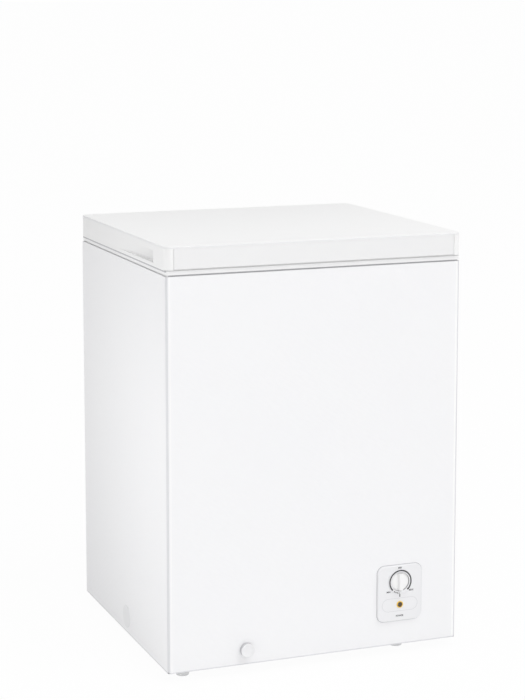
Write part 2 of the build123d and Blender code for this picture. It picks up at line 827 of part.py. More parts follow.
def top_rim():
    """The plastic collar: a lip with a raised bead, an outer skirt and a wall down to the ledge."""
    z_bead = z_lid - RIM_BEAD_BELOW_LID
    rim = shell_inset(RIM_INSET, z_lip, z_bead)
    rim -= shell_inset(RIM_INSET + RIM_BEAD_WIDTH, z_rim, z_bead)
    rim += shell_inset(RIM_SKIRT_INSET, z_shell - RIM_SKIRT, z_lip)
    rim -= shell_inset(RIM_SKIRT_INSET + RIM_WALL, z_shell - RIM_SKIRT, z_lip)
    rim += rim_opening(RIM_WALL, z_ledge, z_lip)
    rim -= rim_opening(0, z_ledge, z_rim)
    return rim


def drain_pipe():
    return swept(drain_path(), DRAIN_RADIUS, DRAIN_BORE)


def drain_cap():
    """The cap on the front, with a stem that stops the pipe."""
    seat = y_front - LOOSE_FIT
    cap = rod((drain_x, seat, drain_z), FORWARD, CAP_RADIUS, CAP_PROUD - LOOSE_FIT)
    cap = fillet(cap.edges().group_by(Axis.Y)[0], CAP_ROUND)
    return cap + rod((drain_x, seat, drain_z), BACKWARD, DRAIN_BORE - LOOSE_FIT, CAP_STEM)


def drain_stopper():
    """The rubber stopper in the liner's floor, with a tab to pull."""
    stopper = rod((drain_x, drain_y, z_floor), UP, STOPPER_RADIUS, STOPPER_FLANGE)
    stem = z_floor - drain_z - DRAIN_BEND - STOPPER_ABOVE_BEND
    stopper += rod((drain_x, drain_y, z_floor), DOWN, DRAIN_BORE - LOOSE_FIT, stem)
    half = STOPPER_TAB / 2
    thick = STOPPER_TAB_THICK / 2
    low = z_floor + STOPPER_FLANGE
    tab = block(drain_x - half, drain_x + half, drain_y - thick, drain_y + thick, low, low + STOPPER_TAB)
    tab = fillet(tab.edges().filter_by(Axis.Y).group_by(Axis.Z)[-1], half / 2)
    tab -= rod((drain_x, drain_y - thick, low + half), BACKWARD, STOPPER_HOLE, STOPPER_TAB_THICK)
    return stopper + tab


def fill_plug():
    """The blanking plug in the hole through which the insulation was filled."""
    plug = rod((-half_width, fill_plug_y, fill_plug_z), (-1, 0, 0), FILL_PLUG_RADIUS, FILL_PLUG_FLANGE)
    plug = fillet(plug.edges().group_by(Axis.X)[0], FILL_PLUG_FLANGE / 2)
    return plug + rod((-half_width, fill_plug_y, fill_plug_z), RIGHT, FILL_PLUG_STEM_RADIUS, FILL_PLUG_STEM)


# Feet
def feet():
    """Tapered feet, each bored from below for its screw."""
    made = []
    for x, y in foot_places():
        foot = Pos(x, y, z_base / 2) * Cone(FOOT_BOTTOM_RADIUS, FOOT_TOP_RADIUS, z_base)
        foot -= rod((x, y, 0), UP, FOOT_BORE_RADIUS, FOOT_BORE_DEPTH)
        foot -= rod((x, y, 0), UP, FOOT_SCREW_RADIUS + LOOSE_FIT, z_base)
        made.append(foot)
    return made


def foot_screws():
    length = z_base - FOOT_BORE_DEPTH + FOOT_SCREW_REACH
    return [
        screw((x, y, FOOT_BORE_DEPTH), UP, FOOT_SCREW_RADIUS, length, FOOT_SCREW_HEAD_RADIUS, FOOT_SCREW_HEAD)
        for x, y in foot_places()
    ]


# Compressor bay covers
def slots(low, high):
    """Levels of the ventilation slots between two heights."""
    count = int((high - low) / SLOT_PITCH)
    start = (low + high - (count - 1) * SLOT_PITCH) / 2
    return [start + SLOT_PITCH * step for step in range(count)]


def rear_cover():
    """The slotted sheet over the bay's open back."""
    x0 = x_bay - COVER_OVERLAP
    x1 = half_width - COVER_EDGE
    z1 = z_bay + COVER_OVERLAP
    cover = block(x0, x1, y_back, y_back + COVER, z_base + COVER_EDGE, z1)
    middle = (x0 + x1) / 2
    length = middle - SLOT_HEIGHT - x0 - SLOT_MARGIN
    for z in slots(z_base + BAY_HEIGHT / 3, z_bay - SLOT_MARGIN / 2):
        for way in (-1, 1):
            place = Pos(middle + way * (SLOT_HEIGHT + length / 2), y_back, z) * Rot(-90, 0, 0)
            cover -= extrude(place * SlotOverall(length, SLOT_HEIGHT), COVER)
    held, lip = cover_screw_places()
    for x, z in held + lip:
        cover -= rod((x, y_back, z), BACKWARD, SCREW_RADIUS + LOOSE_FIT, COVER)
    return cover - rod((gland_x, y_back, gland_z), BACKWARD, GLAND_RADIUS + LOOSE_FIT, COVER)


def rear_cover_screws():
    held, lip = cover_screw_places()
    return panel_screws(held + lip, y_back + COVER)


def cord_gland():
    """The bush that the mains lead passes through."""
    seat = y_back + COVER
    gland = rod((gland_x, seat, gland_z), BACKWARD, GLAND_FLANGE_RADIUS, GLAND_FLANGE)
    gland += rod((gland_x, seat, gland_z), FORWARD, GLAND_RADIUS, GLAND_LENGTH)
    length = GLAND_FLANGE + GLAND_LENGTH
    return gland - rod((gland_x, seat + GLAND_FLANGE, gland_z), FORWARD, GLAND_BORE, length)


def side_vent_grille():
    """The moulded grille in the right side of the bay."""
    face = half_width + GRILLE_PROUD
    grille = grille_box(0, half_width - GRILLE_DEPTH, half_width)
    grille += grille_box(GRILLE_FLANGE, half_width, face)
    y0 = y_front + GRILLE_FROM_FRONT + GRILLE_FLANGE
    y1 = y0 + GRILLE_LENGTH - 2 * GRILLE_FLANGE
    low = z_base + GRILLE_LOW
    half = SLOT_HEIGHT / 2
    middle = (y0 + y1) / 2
    for z in slots(low, low + GRILLE_HEIGHT):
        for start, end in ((y0, middle - half), (middle + half, y1)):
            grille -= block(half_width - GRILLE_DEPTH, face, start, end, z - half, z + half)
    return grille


# Control panel
def control_bezel():
    """The panel on the front, with a dish for the dial and a skirt that snaps into the sheet."""
    outline = Pos(bezel_x, bezel_z) * RectangleRounded(BEZEL_WIDTH, BEZEL_HEIGHT, BEZEL_CORNER)
    bezel = extrude(Plane.XZ.offset(-y_front) * outline, BEZEL_PROUD)
    bezel = fillet(bezel.faces().sort_by(Axis.Y)[0].edges(), BEZEL_BEVEL)
    hollow = bezel_hole(-BEZEL_WALL)
    bezel += bezel_hole(0) - hollow
    face = y_front - BEZEL_PROUD
    bezel -= rod((bezel_x, face, dial_z), BACKWARD, DIAL_DISH_RADIUS, DIAL_DISH)
    bezel -= rod((bezel_x, face, dial_z), BACKWARD, THERMOSTAT_NECK + LOOSE_FIT, BEZEL_PROUD)
    bezel -= rod((bezel_x, face, lamp_z), BACKWARD, LENS_RADIUS - LENS_FLANGE, BEZEL_PROUD)
    return bezel


def thermostat_knob():
    """A round flange with a waisted grip across it."""
    back = y_front - BEZEL_PROUD + DIAL_DISH - LOOSE_FIT
    front = y_front - front_proud
    knob = rod((bezel_x, back, dial_z), FORWARD, KNOB_RADIUS, KNOB_FLANGE)
    knob = fillet(knob.edges().group_by(Axis.Y)[0], KNOB_FLANGE / 3)
    half = KNOB_GRIP / 2
    reach = KNOB_RADIUS - KNOB_GRIP_INSET
    grip = block(bezel_x - half, bezel_x + half, front, back, dial_z - reach, dial_z + reach)
    grip = fillet(grip.edges().filter_by(Axis.Y), KNOB_GRIP_ROUND)
    grip = fillet(grip.faces().sort_by(Axis.Y)[0].edges(), KNOB_EDGE)
    knob += grip
    return knob - rod((bezel_x, back, dial_z), FORWARD, SHAFT_RADIUS + RUNNING_FIT, SHAFT_IN_KNOB)


def thermostat_shaft():
    back = y_front + SHAFT_IN_BODY
    front = y_front - BEZEL_PROUD + DIAL_DISH - LOOSE_FIT - SHAFT_IN_KNOB
    return rod((bezel_x, back, dial_z), FORWARD, SHAFT_RADIUS, back - front)


def thermostat_body():
    """The thermostat's case behind the panel, with the neck that its shaft turns in."""
    half_x = THERMOSTAT_WIDTH / 2
    half_z = THERMOSTAT_HEIGHT / 2
    back = y_front + THERMOSTAT_DEPTH
    body = block(bezel_x - half_x, bezel_x + half_x, y_front, back, dial_z - half_z, dial_z + half_z)
    body = fillet(body.edges().filter_by(Axis.Y), CASE_ROUND)
    neck_end = y_front - BEZEL_PROUD + DIAL_DISH
    body += rod((bezel_x, y_front, dial_z), FORWARD, THERMOSTAT_NECK, y_front - neck_end)
    depth = SHAFT_IN_BODY + BEZEL_PROUD
    return body - rod((bezel_x, neck_end, dial_z), BACKWARD, SHAFT_RADIUS + RUNNING_FIT, depth)


def thermostat_sensor_tube():
    """The thin tube that feels the cold at the evaporator's step."""
    low = dial_z + THERMOSTAT_HEIGHT / 2
    high = z_step - LINER - LOOSE_FIT
    return rod((sensor_x, sensor_y, low), UP, SENSOR_RADIUS, high - low)


def indicator_lens():
    """The domed amber lens, flanged against the panel."""
    face = y_front - BEZEL_PROUD
    lens = rod((bezel_x, face, lamp_z), FORWARD, LENS_RADIUS, 2 * LENS_FLANGE)
    lens = fillet(lens.edges().group_by(Axis.Y)[0], LENS_FLANGE)
    return lens + rod((bezel_x, face, lamp_z), BACKWARD, LENS_RADIUS - LENS_FLANGE - LOOSE_FIT, LENS_LENGTH)


def indicator_lamp():
    start = y_front - BEZEL_PROUD + LENS_LENGTH
    lamp = rod((bezel_x, start, lamp_z), BACKWARD, LAMP_RADIUS, LAMP_LENGTH)
    return fillet(lamp.edges().group_by(Axis.Y)[-1], LAMP_RADIUS / 3)


def wiring_harness():
    """The loom from the thermostat, along the bay's wall, to the compressor's terminals."""
    start = y_front + THERMOSTAT_DEPTH
    wall = x_bay + SHEET + LOOSE_FIT + HARNESS_RADIUS
    end_y = compressor_y - COMPRESSOR_RADIUS - TERMINAL_DEPTH
    end_z = z_compressor + (TERMINAL_LOW + TERMINAL_HIGH) / 2
    away = 2 * HARNESS_BEND + HARNESS_RADIUS
    points = [
        (bezel_x, start, dial_z),
        (bezel_x, start + away, dial_z),
        (wall, start + away, dial_z),
        (wall, end_y - away, end_z),
        (bay_middle, end_y - away, end_z),
        (bay_middle, end_y, end_z),
    ]
    return bent(points, [HARNESS_BEND] * 4, HARNESS_RADIUS)


# Lid
def lid_outline(inset, z0, z1, corner):
    """The lid's outline drawn inwards."""
    x = lid_half - inset
    return rounded_block(-x, x, lid_front + inset, lid_back - inset, z0, z1, corner)


def grip_block(side):
    """The thick stretch of the lid's side that the grip is hollowed out of."""
    outer = lid_half - LID_WALL
    x0, x1 = sorted((side * outer, side * (lid_half - GRIP_DEPTH - GRIP_WALL)))
    y0 = lid_front + GRIP_FRONT - GRIP_WALL
    y1 = lid_front + GRIP_BACK
    return block(x0, x1, y0, y1, z_lid + LID_FLANGE, z_grip_top + GRIP_WALL)


def grip_scoop(side):
    """A finger hollow, steep at its front end and running out to the back."""
    outer = side * lid_half
    deep = side * (lid_half - GRIP_DEPTH)
    halfway = side * (lid_half - GRIP_DEPTH * GRIP_BOW)
    y0 = lid_front + GRIP_FRONT
    y1 = lid_front + GRIP_BACK
    sides = [
        Edge.make_line((outer, y0), (deep, y0)),
        Edge.make_three_point_arc((deep, y0), (halfway, (y0 + y1) / 2), (outer, y1)),
        Edge.make_line((outer, y1), (outer, y0)),
    ]
    low = z_lid + GRIP_LOW
    scoop = extrude(Pos(0, 0, low) * make_face(sides), z_grip_top - low)
    deepest = scoop.edges().filter_by(Axis.Z).sort_by_distance((deep, y0, z_lid))[0]
    return fillet(deepest, GRIP_ROUND)


def front_plate_box(gap):
    x = lid_half - FRONT_PLATE_END - gap
    low = z_lid + FRONT_PLATE_LIFT + gap
    return block(-x, x, lid_front, lid_front + FRONT_PLATE + FRONT_PLATE_GAP - gap, low, z_frame)


def lid_frame():
    """The moulded surround, with its flange, both grips and the front plate's recess."""
    inner = LID_INNER_CORNER
    frame = lid_outline(0, z_lid, z_frame, LID_CORNER)
    frame += lid_outline(LID_GROOVE_DEPTH, z_frame, z_plate, LID_CORNER - LID_GROOVE_DEPTH)
    frame -= lid_outline(LID_WALL, z_lid + LID_FLANGE, z_plate, inner)
    frame -= lid_outline(LID_OPENING_INSET, z_lid, z_lid + LID_FLANGE, inner)
    for side in (-1, 1):
        frame += grip_block(side)
        frame -= grip_scoop(side)
    frame -= front_plate_box(0)
    for x, z in arm_screw_places():
        frame -= rod((x, lid_back, z), FORWARD, SCREW_RADIUS + LOOSE_FIT, LID_WALL)
    return frame


def lid_top():
    plate = lid_outline(0, z_plate, z_top, LID_CORNER)
    return fillet(plate.edges().group_by(Axis.Z)[-1], LID_TOP_ROUND)


def lid_front_plate():
    plate = front_plate_box(FRONT_PLATE_GAP)
    return fillet(plate.faces().sort_by(Axis.Y)[0].edges(), FRONT_PLATE_ROUND)


def lid_plug(shrink):
    """The tapered block under the lid that closes the opening, drawn inwards."""
    top = PLUG_CLEAR - LEDGE_WIDTH + shrink
    low = top + PLUG_DRAFT
    levels = ((top, z_lid_liner), (low, z_lid - PLUG_DEPTH + shrink))
    x = (liner_left + liner_right) / 2
    y = (liner_front + liner_back) / 2
    outlines = []
    for inset, z in levels:
        wide = liner_right - liner_left - 2 * inset
        deep = liner_back - liner_front - 2 * inset
        outlines.append(Pos(x, y, z) * RectangleRounded(wide, deep, LINER_CORNER))
    return loft(outlines, ruled=True)


def lid_foam():
    foam = lid_outline(LID_WALL, z_lid_liner, z_plate, LID_INNER_CORNER) + lid_plug(LID_LINER)
    for side in (-1, 1):
        foam -= grip_block(side)
    for x, z in arm_screw_places():
        foam -= rod((x, lid_back, z), FORWARD, SCREW_RADIUS + LOOSE_FIT, SCREW_LENGTH)
    return foam


def lid_liner():
    """The lid's formed inner sheet, with the plug drawn down from it."""
    low = z_lid + LID_FLANGE
    sheet = lid_outline(LID_OPENING_INSET - LID_LINER_OVERLAP, low, z_lid_liner, LID_INNER_CORNER)
    return sheet + lid_plug(0) - lid_plug(LID_LINER)


def lid_gasket():
    """The seal ring, hollowed from above for its magnets."""
    inner = GASKET_INSET + GASKET_WIDTH
    channel = GASKET_INSET + (GASKET_WIDTH - MAGNET_WIDTH) / 2 - MAGNET_CLEAR
    channel_width = MAGNET_WIDTH + 2 * MAGNET_CLEAR
    low = z_rim + GASKET_GAP
    z_channel = z_lid - MAGNET_HEIGHT - MAGNET_CLEAR
    corner = GASKET_CORNER - channel + GASKET_INSET
    gasket = lid_outline(GASKET_INSET, low, z_lid, GASKET_CORNER)
    gasket -= lid_outline(inner, low, z_lid, GASKET_CORNER - GASKET_WIDTH)
    hollow = lid_outline(channel, z_channel, z_lid, corner)
    hollow -= lid_outline(channel + channel_width, z_channel, z_lid, corner - channel_width)
    return gasket - hollow


def gasket_magnets():
    """Four flat magnet strips, one along each side of the seal."""
    near = GASKET_INSET + (GASKET_WIDTH - MAGNET_WIDTH) / 2
    far = near + MAGNET_WIDTH
    end = GASKET_INSET + GASKET_CORNER
    z0 = z_lid - MAGNET_HEIGHT - MAGNET_CLEAR / 2
    z1 = z0 + MAGNET_HEIGHT
    x = lid_half - end
    return [
        block(-x, x, lid_front + near, lid_front + far, z0, z1),
        block(-x, x, lid_back - far, lid_back - near, z0, z1),
        block(near - lid_half, far - lid_half, lid_front + end, lid_back - end, z0, z1),
        block(lid_half - far, lid_half - near, lid_front + end, lid_back - end, z0, z1),
    ]


# Hinges
def ear(x0, x1, far, near):
    """A flat ear from the hinge plate, between two heights on it, to the pin."""
    reach = HINGE_EAR_RADIUS
    corners = [(y_back, far), (y_back, near), (y_hinge - reach, z_hinge), (y_hinge + reach, z_hinge)]
    outline = Plane.YZ.offset(x0) * make_face(Polyline(*corners, close=True))
    web = extrude(outline, x1 - x0, dir=RIGHT)
    return web + rod((x0, y_hinge, z_hinge), RIGHT, reach, x1 - x0)


def pin_hole(x):
    reach = HINGE_WIDTH / 2
    return rod((x - reach, y_hinge, z_hinge), RIGHT, PIN_RADIUS + RUNNING_FIT, 2 * reach)


def hinge_base(x):
    """The lower leaf on the cabinet's back."""
    half = HINGE_WIDTH / 2
    high = z_hinge - HINGE_TOP_CLEAR
    leaf = block(x - half, x + half, y_back, y_back + HINGE_PLATE, z_hinge - HINGE_DROP, high)
    start = ARM_HALF + HINGE_SIDE_CLEAR
    for x0 in (x - start - HINGE_EAR, x + start):
        leaf += ear(x0, x0 + HINGE_EAR, z_hinge - HINGE_EAR_REACH, high)
    for bx, bz in base_screw_places():
        leaf -= rod((bx, y_back, bz), BACKWARD, SCREW_RADIUS + LOOSE_FIT, HINGE_PLATE)
    return leaf - pin_hole(x)


def hinge_arm(x):
    """The upper leaf on the lid's back."""
    low = z_lid + ARM_LOW
    high = z_top - ARM_BELOW_TOP
    leaf = block(x - ARM_HALF, x + ARM_HALF, y_back, y_back + HINGE_PLATE, low, high)
    for x0 in (x - ARM_HALF, x + ARM_HALF - HINGE_EAR):
        leaf += ear(x0, x0 + HINGE_EAR, high - LID_WALL, low)
    for sx, sz in arm_screw_places():
        leaf -= rod((sx, y_back, sz), BACKWARD, SCREW_RADIUS + LOOSE_FIT, HINGE_PLATE)
    return leaf - pin_hole(x)


def hinge_pin(x):
    start = ARM_HALF + HINGE_SIDE_CLEAR + HINGE_EAR + LOOSE_FIT
    pin = rod((x - start, y_hinge, z_hinge), RIGHT, PIN_RADIUS, 2 * start)
    for end, way in ((x - start, (-1, 0, 0)), (x + start, RIGHT)):
        pin += rod((end, y_hinge, z_hinge), way, PIN_HEAD_RADIUS, PIN_HEAD)
    return pin


def hinge_spring(x):
    """A torsion spring round the pin, with one leg down the lower leaf."""
    end = ARM_HALF - HINGE_EAR - SPRING_WIRE - LOOSE_FIT
    begin = SPRING_LEG_ROOM - end
    pitch = (end - begin) / SPRING_TURNS
    rise = pitch / (2 * pi)
    scale = 1 / sqrt(spring_radius ** 2 + rise ** 2)

    def place(turn):
        angle = 2 * pi * turn
        return Vector(
            x + begin + pitch * turn,
            y_hinge - spring_radius * cos(angle),
            z_hinge + spring_radius * sin(angle),
        )

    def heading(turn):
        angle = 2 * pi * turn
        return Vector(rise, spring_radius * sin(angle), spring_radius * cos(angle)) * scale

    start = place(0)
    edges = [Edge.make_line(start - heading(0) * SPRING_LEG, start)]
    for quarter in range(4 * SPRING_TURNS):
        here = quarter / 4
        there = here + 0.25
        edges += biarc(place(here), heading(here), place(there), heading(there))
    print("least gap between hinge spring turns", pitch - 2 * SPRING_WIRE)
    return swept(Wire(edges), SPRING_WIRE)


def hinge_base_screws():
    return panel_screws(base_screw_places(), y_back + HINGE_PLATE)


def hinge_arm_screws():
    return panel_screws(arm_screw_places(), y_back + HINGE_PLATE)


# Wire basket
basket_right = liner_right - BASKET_END_GAP
basket_left = basket_right - BASKET_WIDTH
basket_front = liner_front + BASKET_LOOP_GAP
basket_back = liner_back - BASKET_LOOP_GAP
z_basket_rim = z_ledge + LOOSE_FIT + BASKET_RIM_RADIUS
z_basket_loop = z_basket_rim - BASKET_RIM_RADIUS - BASKET_LOOP_RADIUS - WELD_GAP
z_basket_floor = z_basket_loop - BASKET_DEPTH
wire_inset = BASKET_LOOP_RADIUS + BASKET_WIRE_RADIUS + WELD_GAP


def spread(low, high, count):
    return [low + (high - low) * step / (count - 1) for step in range(count)]


def basket_rim():
    """The frame that hangs on the ledge, and the two loops that hold the wires."""
    over = LEDGE_WIDTH / 2
    rim = ring_path(
        basket_left, basket_right, liner_front - over, liner_back + over, z_basket_rim, BASKET_RIM_CORNER
    )
    made = [swept(rim, BASKET_RIM_RADIUS)]
    for z in (z_basket_loop, z_basket_loop - BASKET_BELT_DROP):
        loop = ring_path(basket_left, basket_right, basket_front, basket_back, z, BASKET_LOOP_CORNER)
        made.append(swept(loop, BASKET_LOOP_RADIUS))
    return made


def basket_long_wires():
    """Wires that run from front to back across the basket's floor."""
    front = basket_front + wire_inset
    back = basket_back - wire_inset
    floor = z_basket_floor + 2 * BASKET_WIRE_RADIUS + WELD_GAP
    made = []
    for x in spread(basket_left + BASKET_WIRE_MARGIN, basket_right - BASKET_WIRE_MARGIN, BASKET_LONG_WIRES):
        points = [(x, front, z_basket_loop), (x, front, floor), (x, back, floor), (x, back, z_basket_loop)]
        made.append(bent(points, [BASKET_WIRE_BEND] * 2, BASKET_WIRE_RADIUS))
    return made


def basket_cross_wires():
    """Wires that run from left to right, under the others."""
    left = basket_left + wire_inset
    right = basket_right - wire_inset
    floor = z_basket_floor
    made = []
    for y in spread(basket_front + BASKET_WIRE_MARGIN, basket_back - BASKET_WIRE_MARGIN, BASKET_CROSS_WIRES):
        points = [(left, y, z_basket_loop), (left, y, floor), (right, y, floor), (right, y, z_basket_loop)]
        made.append(bent(points, [BASKET_WIRE_BEND] * 2, BASKET_WIRE_RADIUS))
    return made


# Each piece, or group of like pieces, goes to its own file
SINGLE_PIECES = [
    front_panel, left_side_panel, right_side_panel, back_panel, base_pan,
    compressor_bay_shroud, compressor_tray, compressor_housing, compressor_pump, compressor_mount_plate,
    terminal_cover,
    evaporator_coil, condenser_coil, suction_line, discharge_line, filter_drier, capillary_tube,
    cabinet_foam, inner_liner, top_rim, drain_pipe, drain_cap, drain_stopper, fill_plug,
    rear_cover, cord_gland, side_vent_grille,
    control_bezel, thermostat_knob, thermostat_shaft, thermostat_body, thermostat_sensor_tube,
    indicator_lens, indicator_lamp, wiring_harness,
    lid_frame, lid_top, lid_front_plate, lid_foam, lid_liner, lid_gasket,
]
GROUPS = [
    compressor_grommets, compressor_bolts, feet, foot_screws, rear_cover_screws, gasket_magnets,
    hinge_base_screws, hinge_arm_screws, basket_rim, basket_long_wires, basket_cross_wires,
]
HINGE_PIECES = [hinge_base, hinge_arm, hinge_pin, hinge_spring]

nodes = {}
for make in SINGLE_PIECES:
    nodes[make.__name__] = make()
for make in GROUPS:
    nodes[make.__name__] = Compound(children=[piece.solid() for piece in make()])
for make in HINGE_PIECES:
    for side, place in hinge_places.items():
        nodes[f"{make.__name__}_{side}"] = make(place)

for name, shape in nodes.items():
    shape.label = name
    export_step(shape, f"parts/{name}.step")
print(len(nodes), "nodes written")
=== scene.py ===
# %% [markdown]
# # A small chest freezer
# The engineering parts come in as a fixed frame, in metres, with the floor at z = 0, X to the
# right and Y to the back. Nothing in that frame is moved. This lesson gives every part a finish,
# models the pieces that need a softer or finer shape than the frame has, and lights the scene.

# %% Load the frame
import json
import math

import bmesh
import bpy
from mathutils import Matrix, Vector


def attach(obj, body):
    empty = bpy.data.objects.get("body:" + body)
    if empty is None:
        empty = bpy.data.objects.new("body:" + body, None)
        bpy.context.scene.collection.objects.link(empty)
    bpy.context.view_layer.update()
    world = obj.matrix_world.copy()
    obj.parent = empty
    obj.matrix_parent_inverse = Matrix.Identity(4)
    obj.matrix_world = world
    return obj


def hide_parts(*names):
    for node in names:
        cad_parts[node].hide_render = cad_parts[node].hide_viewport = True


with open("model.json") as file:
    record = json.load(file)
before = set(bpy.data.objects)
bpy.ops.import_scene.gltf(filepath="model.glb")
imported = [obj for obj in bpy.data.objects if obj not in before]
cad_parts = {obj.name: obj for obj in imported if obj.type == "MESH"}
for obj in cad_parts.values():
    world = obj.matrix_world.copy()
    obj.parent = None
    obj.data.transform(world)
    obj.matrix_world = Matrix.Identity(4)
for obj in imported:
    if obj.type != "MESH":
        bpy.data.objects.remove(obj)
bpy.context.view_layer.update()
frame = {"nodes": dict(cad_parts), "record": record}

MM = 0.001
nodes = frame["nodes"]
scene = bpy.context.scene
print("frame parts:", len(nodes))

# %% [markdown]
# ## The camera
# The object stands on a white ground and is seen from its front left, a little from above, through
# a long lens. A camera can be set by eye or solved from corners whose real places are known. This
# one was solved, so that its place, turn and lens all belong together. The lens is shifted
# downwards a little, which keeps the upright edges nearly parallel.

# %% Camera
PHOTO_HEIGHT = 700
FOCAL_PIXELS = 1956
SHIFT_PIXELS = 100
SENSOR = 36.0
CAMERA_YAW = -21.20
CAMERA_PITCH = 7.72
CAMERA_PLACE = Vector((-1452, -3735, 1337))
FARTHEST = 400

camera = bpy.data.objects.new("photo_camera", bpy.data.cameras.new("photo_camera"))
scene.collection.objects.link(camera)
camera.data.sensor_width = SENSOR
camera.data.lens = FOCAL_PIXELS * SENSOR / PHOTO_HEIGHT
camera.data.shift_y = -SHIFT_PIXELS / PHOTO_HEIGHT
camera.data.clip_end = FARTHEST
camera.location = CAMERA_PLACE * MM
camera.rotation_euler = (math.radians(90 - CAMERA_PITCH), 0, math.radians(CAMERA_YAW))
scene.camera = camera
print("lens", round(camera.data.lens, 1), "mm")

# %% [markdown]
# ## Tools for finishes
# A finish is a small tree of nodes. One helper turns a written colour into the linear light that
# Blender works with, one fills a node's sockets, one adds a node, and one starts a material. The
# last joins what nearly every finish has: two tones, a changing gloss and a fine relief. Pattern
# sizes are given in millimetres and turned into the repeats per metre that textures ask for.

# %% Finish tools
def srgb(colour):
    """A written hex colour as linear light."""
    parts = [int(colour[i:i + 2], 16) / 255 for i in (0, 2, 4)]
    return [p / 12.92 if p < 0.04045 else ((p + 0.055) / 1.055) ** 2.4 for p in parts] + [1.0]


def per_metre(size):
    return 1 / (size * MM)


def fill(tree, node, inputs):
    """Links a socket to each input that is a socket, and sets the others."""
    for key, value in inputs.items():
        if isinstance(value, bpy.types.NodeSocket):
            tree.links.new(value, node.inputs[key])
        else:
            node.inputs[key].default_value = value


def add(tree, kind, inputs=None, **settings):
    node = tree.nodes.new("ShaderNode" + kind)
    for name, value in settings.items():
        setattr(node, name, value)
    fill(tree, node, inputs or {})
    return node


def start_finish(name, **constants):
    """A new material, its tree, its shader and the object's own coordinates."""
    material = bpy.data.materials.new(name)
    material.use_nodes = True
    tree = material.node_tree
    shader = tree.nodes["Principled BSDF"]
    fill(tree, shader, {key.replace("_", " "): value for key, value in constants.items()})
    return material, tree, shader, add(tree, "TexCoord").outputs["Object"]


def lay_surface(
    tree, shader, tones, tone_by, roughness, change, gloss_by, relief, relief_by, strength
):
    """Mixes two tones, lets the roughness change a little, and adds relief in mm, by patterns."""
    tone_by, gloss_by, relief_by = (node.outputs[0] for node in (tone_by, gloss_by, relief_by))
    tone = add(tree, "Mix", {0: tone_by, 6: srgb(tones[0]), 7: srgb(tones[1])}, data_type="RGBA")
    low, high = (roughness + part for part in change)
    dull = add(tree, "MapRange", {"Value": gloss_by, "To Min": low, "To Max": high})
    bump = add(tree, "Bump", {"Height": relief_by, "Distance": relief * MM, "Strength": strength})
    fill(tree, shader, {
        "Base Color": tone.outputs[2], "Roughness": dull.outputs[0], "Normal": bump.outputs[0]
    })
    return dull


print("finish tools ready")

# %% [markdown]
# ## Moulded plastic and rubber
# ABS, polystyrene, vinyl and rubber all leave a steel mould whose surface was spark eroded, so
# they carry a very fine grain that spreads the highlight. A photograph of the grain could be laid
# on, but noise follows any shape without a seam. The tone also drifts a little across a large
# moulding. The grain is drawn about three times coarser than the real one, or it would not show.

# %% Moulded finish
DRIFT = 90
GLOSS_CHANGE = (-0.07, 0.07)
GRAIN_STRENGTH = 0.5


def moulded(name, colour, shade, roughness, grain=1.2, relief=0.02, **constants):
    material, tree, shader, place = start_finish(name, **constants)
    drift = add(tree, "TexNoise", {"Vector": place, "Scale": per_metre(DRIFT), "Detail": 2.0})
    grit = add(tree, "TexNoise", {"Vector": place, "Scale": per_metre(grain), "Detail": 3.0})
    lay_surface(
        tree, shader, (colour, shade), drift, roughness, GLOSS_CHANGE, grit,
        relief, grit, GRAIN_STRENGTH,
    )
    return material


finishes = {
    # Rim of the opening: an even white with a broad, soft highlight
    "rim_plastic": moulded("polystyrene_rim", "F4F4F4", "F0F0F1", 0.42),
    # Lid frame: satin, so that its round corners show by their shade and hardly shine
    "lid_plastic": moulded("abs_lid", "F6F6F6", "F4F4F4", 0.48, Specular_IOR_Level=0.25),
    # Sheet under the lid: smooth, so that its raised panel catches a soft shine
    "lid_liner_plastic": moulded("polystyrene_lid_liner", "F1F1F1", "ECECEE", 0.30),
    # Seal: soft, dull and a little warm
    "gasket_vinyl": moulded("soft_vinyl_seal", "F0F0EE", "E6E6E3", 0.55, relief=0.03),
    # Magnets: brown grey and chalky
    "magnet_strip": moulded("bonded_ferrite_strip", "3B3735", "2F2C2B", 0.70, relief=0.05),
    # Control panel: a shade greyer than the shell, so that it stands out
    "panel_plastic": moulded("abs_control_panel", "EEEEF0", "EBEBED", 0.40),
    # Knob: the whitest piece on the panel, with a clear highlight
    "knob_plastic": moulded("abs_knob", "F8F8F8", "F5F5F5", 0.34),
    # Drain, plug and grille: plain white with a little shine
    "white_plastic": moulded("white_polypropylene", "F0F0F1", "EAEAEC", 0.42),
    # Stopper: a dull middle grey
    "stopper_rubber": moulded("grey_stopper_rubber", "7C7F82", "6D7073", 0.62, relief=0.04),
    # Covers and gland: deep black with a grey bloom
    "black_plastic": moulded("black_polyamide", "1E1F21", "161719", 0.45, relief=0.04),
    # Feet: polished, so that they mirror the white ground and stay light
    "foot_plastic": moulded(
        "glossy_foot_polypropylene", "F8F8F8", "F4F4F4", 0.22,
        Specular_IOR_Level=0.9, Coat_Weight=0.8,
    ),
    # Grommets: black with no shine
    "mount_rubber": moulded("black_mount_rubber", "232325", "1A1A1B", 0.72, relief=0.05),
    # Lamp housing: milky and a little yellow
    "lamp_plastic": moulded("milky_lamp_housing", "DCD8CC", "D0CBBD", 0.35),
    # Wires: pale and waxy
    "wire_insulation": moulded("vinyl_wire_insulation", "E4E2DC", "CFCCC4", 0.45),
    # Basket: a thick dip that leaves one bright line along every wire
    "basket_wire": moulded("vinyl_dipped_wire", "F3F3F2", "EAEAE8", 0.32, grain=3.0),
}
print("moulded finishes:", len(finishes))

